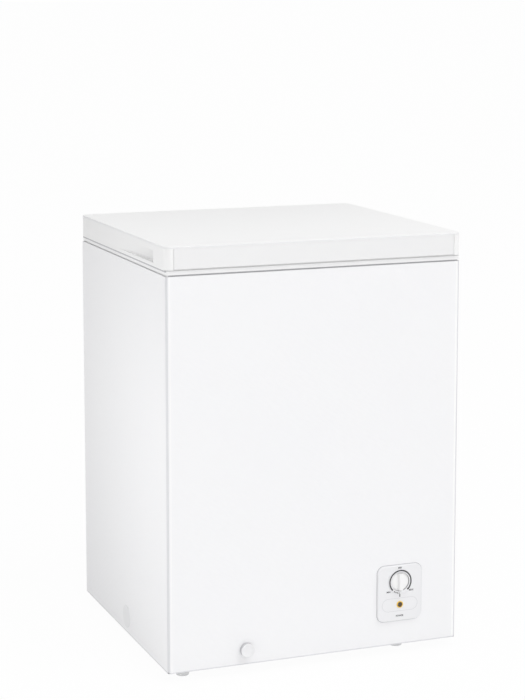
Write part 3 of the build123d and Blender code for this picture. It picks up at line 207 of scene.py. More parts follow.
# %% [markdown]
# ## Stucco-embossed sheet
# The shell is prepainted steel that ran between engraved rollers, so it carries shallow oval
# pebbles in slanting rows. The same rollers make the aluminium liner. Thousands of dents would be
# far too many faces, so a cell pattern is stretched along the slant and used as relief. One
# coordinate runs along the walls, across the corner, and the other is the height. The pebbles are
# drawn about three times as large as real ones, or they would not show.

# %% Embossed finish
ROW_SLANT = -32.0
PEBBLE_LENGTH, PEBBLE_WIDTH = 22.0, 8.2
PEBBLE_BLEND, PEBBLE_SCATTER, PEBBLE_STRENGTH = 0.4, 0.45, 0.6
PEBBLE_GLOSS = (-0.05, 0.08)
SHEET_DRIFT = 220


def embossed(name, colour, shade, roughness, relief, metallic=0.0):
    material, tree, shader, place = start_finish(name, Metallic=metallic)
    split = add(tree, "SeparateXYZ", {"Vector": place})
    along = add(tree, "Math", {0: split.outputs[0], 1: split.outputs[1]}, operation="ADD")
    wall = add(tree, "CombineXYZ", {"X": along.outputs[0], "Y": split.outputs[2]})
    rows = add(tree, "Mapping", {
        "Vector": wall.outputs[0],
        "Rotation": (0, 0, math.radians(ROW_SLANT)),
        "Scale": (PEBBLE_LENGTH * MM, PEBBLE_WIDTH * MM, 1),
    }, vector_type="TEXTURE")
    pebbles = add(tree, "TexVoronoi", {
        "Vector": rows.outputs[0], "Scale": 1.0,
        "Smoothness": PEBBLE_BLEND, "Randomness": PEBBLE_SCATTER,
    }, voronoi_dimensions="2D", feature="SMOOTH_F1")
    drift = add(tree, "TexNoise", {"Vector": place, "Scale": per_metre(SHEET_DRIFT), "Detail": 2.0})
    lay_surface(
        tree, shader, (colour, shade), drift, roughness, PEBBLE_GLOSS, pebbles,
        relief, pebbles, PEBBLE_STRENGTH,
    )
    return material


# Painted shell: a cool white with faint slanting rows
finishes["white_sheet_steel"] = embossed("prepainted_stucco_steel", "F5F5F6", "F3F3F5", 0.38, 0.33)
# Bare liner: the same rows, as a soft sparkle on grey
finishes["liner_aluminium"] = embossed("stucco_aluminium", "D3D6D9", "C8CBCE", 0.34, 0.25, 1.0)
print("embossed finishes: 2")

# %% [markdown]
# ## Bare metal
# Zinc, copper, aluminium and steel parts are drawn, rolled or cast. Their colour comes from the
# reflection, so they are metallic, and what the eye reads is how the gloss changes: soft patches
# where the surface has dulled, over a fine grain that is drawn coarse enough to show. Dipped
# galvanised sheet also has crystals about a centimetre across, which one cell texture gives.

# %% Metal finishes
METAL_GRAIN, METAL_STRENGTH = 0.9, 0.4
METAL_GLOSS = (-0.10, 0.10)
CRYSTAL_RELIEF, CRYSTAL_STRENGTH = 0.02, 0.3


def bare_metal(name, colour, shade, roughness, patch=12, relief=0.02):
    material, tree, shader, place = start_finish(name, Metallic=1.0)
    patches = add(tree, "TexNoise", {"Vector": place, "Scale": per_metre(patch), "Detail": 4.0})
    fine = add(tree, "TexNoise", {"Vector": place, "Scale": per_metre(METAL_GRAIN), "Detail": 2.0})
    dull = lay_surface(
        tree, shader, (colour, shade), patches, roughness, METAL_GLOSS, patches,
        relief, fine, METAL_STRENGTH,
    )
    fill(tree, dull, {"From Min": 0.3, "From Max": 0.7})
    return material


def spangled(name, colour, shade, roughness, crystal):
    material, tree, shader, place = start_finish(name, Metallic=1.0)
    crystals = add(tree, "TexVoronoi", {"Vector": place, "Scale": per_metre(crystal)})
    grey = add(tree, "RGBToBW", {"Color": crystals.outputs["Color"]})
    lay_surface(
        tree, shader, (colour, shade), grey, roughness, METAL_GLOSS, grey,
        CRYSTAL_RELIEF, grey, CRYSTAL_STRENGTH,
    )
    return material


finishes.update({
    # Evaporator: pale and silky
    "aluminium_tube": bare_metal("drawn_aluminium_tube", "C9CCCF", "B5B8BB", 0.34),
    # Condenser: a flat middle grey
    "steel_tube": bare_metal("coated_steel_tube", "A9AAAB", "8E8F90", 0.38),
    # Pipes: warm, with browner patches
    "copper_tube": bare_metal("drawn_copper_tube", "D08A62", "A9623F", 0.30),
    # Screws and pins: bright, with dull specks
    "zinc_steel": bare_metal("zinc_plated_steel", "CDD0D3", "B4B8BC", 0.30, patch=4),
    # Hinge leaves: the same plating, duller
    "hinge_steel": bare_metal("zinc_plated_hinge_plate", "C6C9CC", "B2B5B9", 0.36),
    # Springs: dark and wet from their oil
    "spring_steel": bare_metal("oiled_spring_wire", "84878A", "686B6E", 0.30, patch=5),
    # Pump: rough and dark, with no clear highlight
    "pump_iron": bare_metal("cast_iron_pump", "6A6866", "4B4947", 0.62, relief=0.2),
    # Base and bay: crystals of light and dark grey
    "galvanised_steel": spangled("galvanised_sheet", "C3C7CA", "A9AEB2", 0.42, 11),
    # Back: larger and paler crystals
    "back_sheet_steel": spangled("galvanised_back_sheet", "CFD2D5", "BBBFC3", 0.46, 14),
})
print("finishes so far:", len(finishes))

# %% [markdown]
# ## The other finishes
# The compressor can is baked black enamel with an orange-peel skin. The lamp's lens is dark amber
# acrylic. The insulation is poured foam, pale yellow with open bubbles. The dial is printed with a
# matt dark grey ink. Only the foam needs a tree of its own, with cells for bubbles that are drawn
# larger than real ones. The others are the moulded finish with another grain or a clear coat.

# %% Enamel, lens, foam and ink
BUBBLE = 2.5
BUBBLE_RELIEF = 0.4


def foam(name, colour, shade):
    material, tree, shader, place = start_finish(name, Roughness=0.9)
    bubbles = add(tree, "TexVoronoi", {"Vector": place, "Scale": per_metre(BUBBLE)}).outputs[0]
    tone = add(tree, "Mix", {0: bubbles, 6: srgb(colour), 7: srgb(shade)}, data_type="RGBA")
    bump = add(tree, "Bump", {"Height": bubbles, "Distance": BUBBLE_RELIEF * MM})
    fill(tree, shader, {"Base Color": tone.outputs[2], "Normal": bump.outputs[0]})
    return material


# Foam: crumbly, yellow and without shine
finishes["insulation_foam"] = foam("poured_polyurethane_foam", "E9DCB4", "D6C48E")
# Enamel: a wet black whose reflections waver
finishes["black_enamel"] = moulded(
    "baked_black_enamel", "17181A", "101112", 0.22, grain=4.0, relief=0.08, Coat_Weight=0.4
)
# Lens: nearly black while the lamp is off, with a sharp highlight
finishes["amber_lens"] = moulded(
    "amber_acrylic_lens", "4A3410", "3C2A0A", 0.16, grain=3.0, relief=0.01, Coat_Weight=0.6
)
# Ink: dark and matt, so that it reads from any side
ink = moulded("dark_grey_print", "3E3E41", "48484B", 0.60, grain=0.8, relief=0.01)
print("finishes in all:", len(finishes))

# %% [markdown]
# ## Finishes onto the frame
# Every part in the frame names the kind of material it is made of. The finish is put into the
# part's own material slots, so the shape isn't touched. The plate on the lid's front is the same
# plastic as the lid, a shade greyer.

# %% Dress the frame
slot_of = {part["node"]: part["material_slot"] for part in frame["record"]["subparts"]}
for name, node in nodes.items():
    node.data.materials.clear()
    node.data.materials.append(finishes[slot_of[name]])
# Front plate: just dark enough to part from the lid's frame
plate_finish = moulded("satin_abs_front_plate", "F0F0F0", "ECECED", 0.44)
nodes["lid_front_plate"].data.materials[0] = plate_finish
print("dressed parts:", len(slot_of))

# %% [markdown]
# ## The lid's sheet
# The lid's top is a sheet that was drawn over the frame. Its rolled edge is painted a shade greyer,
# as painted shade against the highlight that the edge catches. The edge could be a piece of its
# own, but it has no seam, so the moulded finish gets one more mix, from the edge's painted shade to
# the sheet's tone, by height.

# %% Lid sheet finish
EDGE_PAINTED_SHADE = "EFEFF0"
EDGE_LOW, EDGE_HIGH = 849.5, 849.98

# Lid sheet: a clean satin white, with painted shade on its rolled edge
top_finish = moulded("abs_lid_sheet", "F8F8F8", "F7F7F7", 0.48, Specular_IOR_Level=0.25)
tree = top_finish.node_tree
shader = tree.nodes["Principled BSDF"]
place = tree.nodes["Texture Coordinate"].outputs["Object"]
sheet_tone = shader.inputs["Base Color"].links[0].from_socket
height = add(tree, "SeparateXYZ", {"Vector": place}).outputs["Z"]
share = add(tree, "MapRange", {
    "Value": height, "From Min": EDGE_LOW * MM, "From Max": EDGE_HIGH * MM
}).outputs[0]
# Painted shade: greyer below the flat top, on the rolled edge, fading to the sheet's tone above
edge_shaded = add(tree, "Mix", {0: share, 6: srgb(EDGE_PAINTED_SHADE), 7: sheet_tone}, data_type="RGBA")
fill(tree, shader, {"Base Color": edge_shaded.outputs[2]})
nodes["lid_top"].data.materials[0] = top_finish
print("lid sheet:", top_finish.name)

# %% [markdown]
# ## Modelling tools
# Each new piece is modelled the way it would be by hand: a primitive is added at its size and
# place, then pulled, scaled and bevelled in edit mode. Operators act on whatever is selected, so
# one tool clears the selection, and another picks points, edges or faces by where they are. Places
# are in millimetres, and two distances say what is close enough to be picked.

# %% Selecting and drawing out
MERGE_DISTANCE = 0.001
NEAR, IN_PLANE = 1, 0.1


def enter(mode):
    bpy.ops.object.mode_set(mode=mode)


def deselect():
    if bpy.context.object and bpy.context.object.mode == "EDIT":
        enter("OBJECT")
    bpy.ops.object.select_all(action="DESELECT")


def choose_all():
    bpy.ops.mesh.select_all(action="SELECT")


def choose(kind, test):
    """In edit mode, selects the points, edges or faces whose middle passes a test."""
    piece = bpy.context.object
    bpy.ops.mesh.select_mode(type=kind)
    bpy.ops.mesh.select_all(action="DESELECT")
    mesh = bmesh.from_edit_mesh(piece.data)
    parts = {"VERT": mesh.verts, "EDGE": mesh.edges, "FACE": mesh.faces}[kind]
    for part in parts:
        corners = [part.co] if kind == "VERT" else [v.co for v in part.verts]
        middle = piece.matrix_world @ (sum(corners, Vector()) / len(corners))
        part.select_set(bool(test(middle / MM)))
    mesh.select_flush_mode()
    bmesh.update_edit_mesh(piece.data)


def draw_out(move, scale=(1, 1, 1), centre=(0, 0, 0)):
    """Extrudes what is selected, moves it by some mm, and scales it about a place."""
    shift = {"value": Vector(move) * MM, "orient_type": "GLOBAL"}
    bpy.ops.mesh.extrude_region_move(TRANSFORM_OT_translate=shift)
    bpy.ops.transform.resize(value=scale, center_override=Vector(centre) * MM)


def take_out(kind):
    bpy.ops.mesh.delete(type=kind)


def outwards():
    """Merges doubles, turns every face outwards, and leaves edit mode."""
    choose_all()
    bpy.ops.mesh.remove_doubles(threshold=MERGE_DISTANCE * MM)
    bpy.ops.mesh.normals_make_consistent(inside=False)
    enter("OBJECT")


deselect()
print("selecting tools ready")

# %% [markdown]
# ## Two ways to start a piece
# Most pieces start as one of two flat shapes. A turned piece is a disc that is drawn out step by
# step, as on a lathe, so a list of radii and heights says all about it. Others start as a plate
# between two corners, lying or standing. Its scale is applied at once, so that bevels stay round.

# %% Discs and plates
PLATE_TURNS = {
    "LYING": (0, 0, 0),
    "FACING_FRONT": (math.pi / 2, 0, 0),
    "FACING_SIDE": (math.pi / 2, 0, math.pi / 2),
}


def turned(base, axis, profile, sides=64):
    """A turned shape: a disc, drawn out along an axis through (radius, height) steps."""
    deselect()
    base, axis = Vector(base), Vector(axis)
    radius, height = profile[0]
    bpy.ops.mesh.primitive_circle_add(
        vertices=sides, radius=radius * MM, fill_type="NGON",
        location=(base + axis * height) * MM, rotation=axis.to_track_quat("Z", "Y").to_euler(),
    )
    enter("EDIT")
    for new_radius, new_height in profile[1:]:
        growth = (new_radius / radius,) * 3
        draw_out(axis * (new_height - height), growth, base + axis * new_height)
        radius, height = new_radius, new_height
    outwards()
    return bpy.context.object


def plate(low, high, turn):
    """A flat plate between two opposite corners, open for editing."""
    deselect()
    low, high = Vector(low), Vector(high)
    span = high - low
    flat = {
        "LYING": (span.x, span.y), "FACING_FRONT": (span.x, span.z), "FACING_SIDE": (span.y, span.z)
    }
    bpy.ops.mesh.primitive_plane_add(
        size=MM, location=(low + high) / 2 * MM, rotation=PLATE_TURNS[turn]
    )
    bpy.context.object.scale = (*flat[turn], 1)
    bpy.ops.object.transform_apply(location=False, rotation=True, scale=True)
    enter("EDIT")


def round_corners(radius, segments):
    bpy.ops.mesh.bevel(offset=radius * MM, segments=segments, affect="VERTICES")


print("ways to lay a plate:", len(PLATE_TURNS))

# %% [markdown]
# ## Copying, joining and finishing
# What repeats is modelled once and copied, each copy with a mesh of its own, and the copies are
# joined. Modifiers are applied as soon as they are set up, and a Boolean one joins or cuts pieces.
# Last, a piece's place goes into its mesh, and it gets a name, a finish and the body it moves with.

# %% Copying, joining and finishing
SMOOTH_ANGLE = math.radians(35)


def pick(piece):
    """Makes one piece the only selected and the active one."""
    deselect()
    piece.select_set(True)
    bpy.context.view_layer.objects.active = piece


def join(pieces):
    pick(pieces[0])
    for piece in pieces[1:]:
        piece.select_set(True)
    bpy.ops.object.join()


def copy_to(piece, place):
    """A copy with a mesh of its own, moved by some mm."""
    pick(piece)
    bpy.ops.object.duplicate_move(TRANSFORM_OT_translate={"value": Vector(place) * MM})
    return bpy.context.object


def modify(kind, **settings):
    """Adds a modifier to the active piece, sets it up and applies it."""
    change = bpy.context.object.modifiers.new("change", kind)
    for name, value in settings.items():
        setattr(change, name, value)
    bpy.ops.object.modifier_apply(modifier=change.name)


def combine(piece, tool, operation):
    """Joins a tool to a piece, or cuts it out, and removes the tool."""
    pick(piece)
    modify("BOOLEAN", object=tool, operation=operation)
    bpy.data.objects.remove(tool)


def apply_place():
    bpy.ops.object.transform_apply(location=True, rotation=True, scale=True)


def finish_piece(name, slot, body, *stood_for, finish=None):
    """Names and dresses the active piece, and hangs it on a body of the frame."""
    piece = bpy.context.object
    apply_place()
    bpy.ops.object.shade_smooth_by_angle(angle=SMOOTH_ANGLE)
    piece.name = piece.data.name = name
    piece.data.materials.clear()
    piece.data.materials.append(finish or finishes[slot])
    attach(piece, body)
    if stood_for:
        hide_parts(*stood_for)
    print(name, len(piece.data.polygons), "faces")


print("modelling tools ready")

# %% [markdown]
# ## The feet
# Four white plastic feet carry the cabinet. A foot is a tapered cup with a collar, fine upright
# ribs that give a grip when it is screwed in, a rounded sole and a bore for its screw. It is turned
# from a disc, every second side face is pressed in to leave the ribs, and three copies are made.

# %% Feet
FOOT_PLACES = [(-266, -244.3), (197, -235.3), (-266, 241.7), (197, 232.7)]
FOOT_TOP = 18
FOOT_PROFILE = [
    (15, 0), (15, 2.4), (14.4, 3.2), (13, 16.4), (12.7, 17.4), (12.2, 18), (6, 18), (5.2, 17.2),
    (5.2, 10),
]
FOOT_SIDES = 48
RIB_LOW, RIB_TOP, RIB_EDGE, RIB_DEPTH = 5, 12, 0.25, 0.4


def on_rib_gap(place):
    turn = math.degrees(math.atan2(place.y, place.x)) % 360
    return RIB_LOW < place.z < RIB_TOP and int(turn * FOOT_SIDES / 360) % 2 == 0


foot = turned((0, 0, FOOT_TOP), (0, 0, -1), FOOT_PROFILE, FOOT_SIDES)
enter("EDIT")
choose("FACE", on_rib_gap)
bpy.ops.mesh.inset(thickness=RIB_EDGE * MM, depth=-RIB_DEPTH * MM, use_individual=True)
enter("OBJECT")
feet = [copy_to(foot, (x, y, 0)) for x, y in FOOT_PLACES[1:]]
foot.location += Vector((*FOOT_PLACES[0], 0)) * MM
join([foot] + feet)
finish_piece("ribbed_feet", "foot_plastic", "cabinet", "feet")

# %% [markdown]
# ## The drain cap
# A white cap on the front closes the pipe that meltwater leaves by. A shallow round sink marks its
# face, and a light grey band round its head is painted shade on the cap's side wall. The cap is one
# turned shape, from the end of its stem to the bottom of the sink. The band is a turned ring: its
# profile ends where it began, so that the disc in its middle can be taken out.

# %% Drain cap
FORWARD = (0, -1, 0)
CAP_BASE = (-147.2, -284.6, 48)
CAP_PROFILE = [
    (5.6, -20), (6.7, -18.8), (6.7, -0.2), (13.2, 0), (13.2, 8.7), (13.9, 8.8), (14, 9.1),
    (13.8, 9.5), (13.3, 9.7), (10.9, 9.7), (10.4, 9.4), (4, 9.3),
]
SHADE_BAND_PROFILE = [
    (13.25, 0.3), (13.8, 0.3), (13.95, 0.6), (13.95, 8.2), (13.8, 8.6), (13.25, 8.6), (13.25, 0.3)
]


def ring(base, profile, sides=96):
    """A turned ring that faces the front."""
    turned(base, FORWARD, profile, sides)
    enter("EDIT")
    choose("FACE", lambda place: math.hypot(place.x - base[0], place.z - base[2]) < NEAR)
    take_out("ONLY_FACE")
    outwards()


turned(CAP_BASE, FORWARD, CAP_PROFILE)
finish_piece("turned_drain_cap", "white_plastic", "drain_cap", "drain_cap")
# Painted shade: a light grey band on the cap's side wall, where shade falls
cap_wall_painted_shade = moulded("grey_cap_wall_painted_shade", "CCCCCF", "C6C6C9", 0.6, relief=0.03)
ring(CAP_BASE, SHADE_BAND_PROFILE)
finish_piece("cap_wall_shade_band", "stopper_rubber", "drain_cap", finish=cap_wall_painted_shade)

# %% [markdown]
# ## The shade strips and the lid's bead
# Thin grey strips are painted shade: on the bends where the front sheet turns round the corners,
# along the bottom edge, in the groove under the rim, and in the gap under the lid at the sides. A
# white bead fills the groove round the lid's top. All are thin lines, which could be painted on,
# but a strip on the surface stays sharp. Each one is the outline of a plate, cut to its stretch,
# drawn up into a band and given a little thickness.

# %% Strip tools
SHELL_LOW, SHELL_HIGH = Vector((-308, -284.3, 0)), Vector((308, 281.7, 0))
SHELL_CORNER, SHELL_BASE, SHELL_HEIGHT = 6, 18, 775
FILM = 0.06


def make_film():
    """Gives the sheet that is being edited the thickness of a film."""
    enter("OBJECT")
    modify("SOLIDIFY", thickness=FILM * MM, offset=0)


def outline_strip(inset, corner, bottom, height, stretch):
    """A band along the shell's outline, drawn in by some mm, where the test allows it."""
    drawn_in, lift = Vector((inset, inset, 0)), Vector((0, 0, bottom))
    plate(SHELL_LOW + drawn_in + lift, SHELL_HIGH - drawn_in + lift, "LYING")
    round_corners(corner, segments=16)
    take_out("ONLY_FACE")
    choose("EDGE", lambda place: not stretch(place))
    take_out("EDGE")
    choose_all()
    draw_out((0, 0, height))
    choose_all()
    bpy.ops.mesh.normals_make_consistent(inside=False)
    make_film()


print("strip tools ready")

# %% [markdown]
# ## The strips
# A strip is told by its inset from the shell's outline, its corner, its bottom, its height and its
# stretch. The lid is wider than the shell, so the inset of its bead is negative.

# %% Shade strips and lid bead
BOTTOM_SHADE_HEIGHT = 2.2
GROOVE_INSET, GROOVE_Z, GROOVE_HEIGHT = 2.9, 793.2, 2.6
SIDE_SHADE_INSET, SIDE_SHADE_Z, SIDE_SHADE_HEIGHT = 0.3, 800.9, 2.9
LID_BEAD_INSET, LID_BEAD_CORNER, LID_BEAD_Z, LID_BEAD_HEIGHT = -2.3, 16.8, 846.05, 0.7
CORNER_SHADE_LEFT, CORNER_SHADE_RIGHT = (0.8, 6.2), (0.2, 6.2)
GROOVE_RETURN, LID_BEAD_END = 3, 30

# Painted shade: a pale grey for the shade on the corner bends and along the bottom edge
edge_painted_shade = moulded("grey_painted_edge_shade", "E0E0E3", "DCDCDF", 0.6, relief=0.03)
# Painted shade: a darker grey for the shade in the groove under the rim and under the lid's sides
gap_painted_shade = moulded("grey_painted_gap_shade", "C6C6C9", "C0C0C3", 0.6, relief=0.03)
# Lid bead: white, so that the groove round the lid's top stays faint
lid_bead = moulded("white_lid_sealant", "F2F2F2", "EEEEEF", 0.5, relief=0.03)


def in_corner_shade(place):
    near, far = CORNER_SHADE_LEFT if place.x < 0 else CORNER_SHADE_RIGHT
    return near < place.y - SHELL_LOW.y < far


# The first four strips are painted shade; the last is the white bead in the lid's groove.
for name, finish, body, inset, corner, bottom, height, stretch in (
    ("corner_joint_lines", edge_painted_shade, "cabinet", 0, SHELL_CORNER, SHELL_BASE, SHELL_HEIGHT, in_corner_shade),
    ("bottom_hem_line", edge_painted_shade, "cabinet", 0, SHELL_CORNER, SHELL_BASE, BOTTOM_SHADE_HEIGHT,
     lambda place: place.y < SHELL_HIGH.y - NEAR),
    ("groove_bead", gap_painted_shade, "cabinet", GROOVE_INSET, SHELL_CORNER - GROOVE_INSET,
     GROOVE_Z, GROOVE_HEIGHT, lambda place: place.y < SHELL_LOW.y + GROOVE_RETURN),
    ("side_seal_lips", gap_painted_shade, "cabinet", SIDE_SHADE_INSET, SHELL_CORNER - SIDE_SHADE_INSET,
     SIDE_SHADE_Z, SIDE_SHADE_HEIGHT, lambda place: abs(place.x) > SHELL_HIGH.x - NEAR),
    ("lid_groove_bead", lid_bead, "lid", LID_BEAD_INSET, LID_BEAD_CORNER,
     LID_BEAD_Z, LID_BEAD_HEIGHT, lambda place: place.y < SHELL_HIGH.y - LID_BEAD_END),
):
    outline_strip(inset, corner, bottom, height, stretch)
    finish_piece(name, "gasket_vinyl", body, finish=finish)

# %% [markdown]
# ## The bright lines beside the bends
# Where the front sheet is bent, the tool presses its embossing flat, so a narrow line beside each
# bend is smooth. It is also painted a brighter white than the sheet, as a painted highlight along
# the bend. A finish can't leave out its relief in one place without a mask, so each line is a thin
# plate on the sheet, with a smooth finish of its own.

# %% Highlight lines beside the bends
HIGHLIGHT_LINES = [(-302.4, -300), (298.9, 302.3)]
LINE_LOW, LINE_HIGH = SHELL_BASE + BOTTOM_SHADE_HEIGHT, SHELL_BASE + SHELL_HEIGHT

# Painted highlight: the brightest white on the shell, smooth and glossy
bend_highlight_paint = moulded("smooth_painted_highlight", "FDFDFD", "FCFCFC", 0.2, relief=0.005)
highlight_lines = []
for left, right in HIGHLIGHT_LINES:
    plate((left, SHELL_LOW.y, LINE_LOW), (right, SHELL_LOW.y, LINE_HIGH), "FACING_FRONT")
    make_film()
    highlight_lines.append(bpy.context.object)
join(highlight_lines)
finish_piece("painted_highlight_lines", "white_sheet_steel", "cabinet", finish=bend_highlight_paint)

# %% [markdown]
# ## The lamp lens
# The lamp's lens is a small amber dome in a bright rim: the thin rim passes light and glows gold,
# while the thick dome over the unlit lamp looks almost black. Two turned shapes with two amber
# finishes show that: the rim's glow is painted, as a bright yellow copy of the amber.

# %% Lamp lens
PANEL_X, PANEL_FACE, LAMP_Z = 181, -288.3, 102
LENS_BASE = (PANEL_X, PANEL_FACE, LAMP_Z)
RIM_PROFILE = [
    (6.4, -8), (6.4, 0), (7, 0), (7, 0.9), (6.7, 1.3), (6, 1.5), (5.3, 1.3), (5.1, 0.3)
]
DOME_PROFILE = [(5, 0.2), (5, 1.1), (4.6, 1.5), (3.8, 1.8), (2.6, 1.97), (1.2, 2)]

# Rim: painted glow, a bright warm yellow for the light that the thin amber rim lets through
rim_painted_glow = moulded(
    "amber_rim_painted_glow", "FFD45A", "F7C544", 0.18, grain=3.0, relief=0.01, Coat_Weight=0.6
)
turned(LENS_BASE, FORWARD, RIM_PROFILE)
finish_piece("lens_rim", "amber_lens", "cabinet", "indicator_lens", finish=rim_painted_glow)
turned(LENS_BASE, FORWARD, DOME_PROFILE, sides=48)
finish_piece("lens_dome", "amber_lens", "cabinet")

# %% [markdown]
# ## The knob
# The knob is a flat disc with a tall waisted bar across it. The bar is a block whose long edges are
# cut into short ones, so that its middle can be drawn in with proportional editing. Boolean
# modifiers make bar and disc one and cut the bore for the shaft.

# %% Knob
DIAL_Z, DISH_FACE = 149.5, -286.8
KNOB_PROFILE = [
    (17.8, 0.3), (18.7, 0.45), (19, 0.9), (19, 1.3), (18.8, 1.7), (18.2, 1.9), (6, 2)
]
BAR_WIDTH, BAR_LENGTH, BAR_BACK, BAR_FRONT = 10.6, 34, -287.6, -296.3
BAR_CUTS, BAR_TAPER, BAR_WAIST, BAR_EDGE = 9, 0.8, 0.74, 0.8
BORE_PROFILE = [(3.05, -1), (3.05, 8.4)]

dial_base = (PANEL_X, DISH_FACE, DIAL_Z)
knob = turned(dial_base, FORWARD, KNOB_PROFILE, sides=96)
deselect()
middle = Vector((PANEL_X, (BAR_BACK + BAR_FRONT) / 2, DIAL_Z)) * MM
bpy.ops.mesh.primitive_cube_add(size=MM, location=middle)
bar = bpy.context.object
bar.scale = (BAR_WIDTH, BAR_BACK - BAR_FRONT, BAR_LENGTH)
bpy.ops.object.transform_apply(location=False, rotation=False, scale=True)
enter("EDIT")
choose("EDGE", lambda place: abs(place.z - DIAL_Z) < NEAR)
bpy.ops.mesh.subdivide(number_cuts=BAR_CUTS)
choose("FACE", lambda place: place.y < BAR_FRONT + IN_PLANE)
bpy.ops.transform.resize(value=(BAR_TAPER, 1, 1), center_override=middle)
choose("VERT", lambda place: abs(place.z - DIAL_Z) < NEAR)
bpy.ops.transform.resize(
    value=(BAR_WAIST, 1, 1), center_override=middle, use_proportional_edit=True,
    proportional_edit_falloff="SMOOTH", proportional_size=BAR_LENGTH / 2 * MM,
)
enter("OBJECT")
modify("BEVEL", width=BAR_EDGE * MM, segments=3)
bore = turned(dial_base, FORWARD, BORE_PROFILE, sides=32)
combine(knob, bar, "UNION")
combine(knob, bore, "DIFFERENCE")
finish_piece("waisted_knob", "knob_plastic", "dial", "thermostat_knob")

# %% [markdown]
# ## The dial's collar
# The knob turns at the bottom of a low round collar that carries the print. Its inside is lined
# with a grey ring that is painted shadow, a dark ring round the knob. Both are turned rings with
# rounded lips.

# %% Collar and lining
COLLAR_HEIGHT = 4
COLLAR_PROFILE = [
    (19.6, 0.05), (24.4, 0.05), (24.4, 1.55), (25.5, 1.55), (25.5, 3.5), (25.3, 3.9),
    (25, COLLAR_HEIGHT), (20.1, COLLAR_HEIGHT), (19.8, 3.9), (19.6, 3.6), (19.6, 0.05),
]
SHADOW_RING_PROFILE = [(19.25, 0.05), (19.55, 0.05), (19.55, 3.5), (19.25, 3.4), (19.25, 0.05)]

# Painted shadow: a dull middle grey ring round the knob, inside the collar
lining_painted_shadow = moulded("grey_painted_shadow_lining", "A6A6A9", "9C9C9F", 0.9, relief=0.1)
ring(dial_base, COLLAR_PROFILE)
finish_piece("dial_collar", "panel_plastic", "cabinet")
ring(dial_base, SHADOW_RING_PROFILE)
finish_piece("dial_shadow_lining", "panel_plastic", "cabinet", finish=lining_painted_shadow)

# %% [markdown]
# ## The print round the dial
# A thick dark arc shows which way the dial turns colder. It starts as a row of dots at the bottom,
# runs clockwise and ends in a dot, and a tick under it marks the off place. Each mark could be a
# texture, but a thin raised layer of ink keeps sharp edges at any distance. An arc is a circle with
# some points removed, widened into a band.

# %% Print tools
INK = 0.12
FACING = PLATE_TURNS["FACING_FRONT"]
COLLAR_FACE = DISH_FACE - COLLAR_HEIGHT
COLLAR_MIDDLE = (PANEL_X, COLLAR_FACE, DIAL_Z)


def clock(place):
    """Degrees clockwise from twelve o'clock, as the dial is read."""
    return math.degrees(math.atan2(place.x - PANEL_X, place.z - DIAL_Z)) % 360


def thicken():
    """Gives a flat print its layer of ink, towards the viewer."""
    choose_all()
    draw_out((0, -INK, 0))
    outwards()


def arc_print(inner, outer, begin, sweep):
    deselect()
    bpy.ops.mesh.primitive_circle_add(
        vertices=180, radius=inner * MM, location=Vector(COLLAR_MIDDLE) * MM, rotation=FACING
    )
    enter("EDIT")
    choose("VERT", lambda place: (clock(place) - begin) % 360 > sweep)
    take_out("VERT")
    choose_all()
    draw_out((0, 0, 0), (outer / inner,) * 3, COLLAR_MIDDLE)
    thicken()
    return bpy.context.object


def dot_print(radius, reach, angle):
    turn = math.radians(angle)
    place = (PANEL_X + reach * math.sin(turn), COLLAR_FACE, DIAL_Z + reach * math.cos(turn))
    return turned(place, FORWARD, [(radius, 0), (radius, INK)], sides=24)


print("layer of ink:", INK, "mm")

# %% [markdown]
# ## The marks
# A dot is told by its radius, its reach from the dial's middle and its angle. The row of dots grows
# towards the arc. The tick is a small block, half sunk in the panel, with its edges broken.

# %% Dial marks
ARC = {"inner": 21.8, "outer": 24.7, "begin": 224, "sweep": 270}
END_DOT = (1.9, 23, 134)
START_DOTS = [(1.1, 23.3, 187), (1.2, 23.3, 196), (1.3, 23.3, 205), (1.4, 23.3, 214)]
TICK_SIZE, TICK_DROP, TICK_EDGE = (1.8, 2 * INK, 6), 28.9, 0.05

marks = [arc_print(**ARC)] + [dot_print(*dot) for dot in [END_DOT] + START_DOTS]
deselect()
tick_place = Vector((PANEL_X, PANEL_FACE, DIAL_Z - TICK_DROP))
bpy.ops.mesh.primitive_cube_add(size=MM, location=tick_place * MM)
tick = bpy.context.object
tick.scale = TICK_SIZE
enter("EDIT")
bpy.ops.mesh.bevel(offset=TICK_EDGE * MM, segments=1, affect="EDGES")
enter("OBJECT")
marks.append(tick)
for mark in marks:
    pick(mark)
    apply_place()
join(marks)
finish_piece("dial_marks", "panel_plastic", "cabinet", finish=ink)

# %% [markdown]
# ## The words
# Short words stand at the ends and the top of the arc, and one stands under the lamp. They are
# printed, like the marks. Text starts as a curve, so it is made a mesh before its place is applied.

# %% Words
LABELS = [
    ("MIN", -25, -20, 4.6), ("MID", 0, 28.2, 4.6), ("MAX", 25, -20, 4.6), ("POWER", 0, -71, 4.8)
]
LETTER_WEIGHT = 0.12

words = []
for word, dx, dz, size in LABELS:
    deselect()
    word_place = Vector((PANEL_X + dx, PANEL_FACE, DIAL_Z + dz))
    bpy.ops.object.text_add(location=word_place * MM, rotation=FACING)
    label = bpy.context.object.data
    label.body = word
    label.size = size * MM
    label.align_x = label.align_y = "CENTER"
    label.extrude = INK * MM
    label.offset = LETTER_WEIGHT * MM
    bpy.ops.object.convert(target="MESH")
    apply_place()
    words.append(bpy.context.object)
join(words)
finish_piece("dial_figures", "panel_plastic", "cabinet", finish=ink)

# %% [markdown]
# ## The line round the lamp and the shade round the panel
# A faint raised line frames the lamp, and a grey border round the whole panel is painted shade at
# the panel's edges. Both are plates with round corners, of which only a narrow inset border is
# kept.

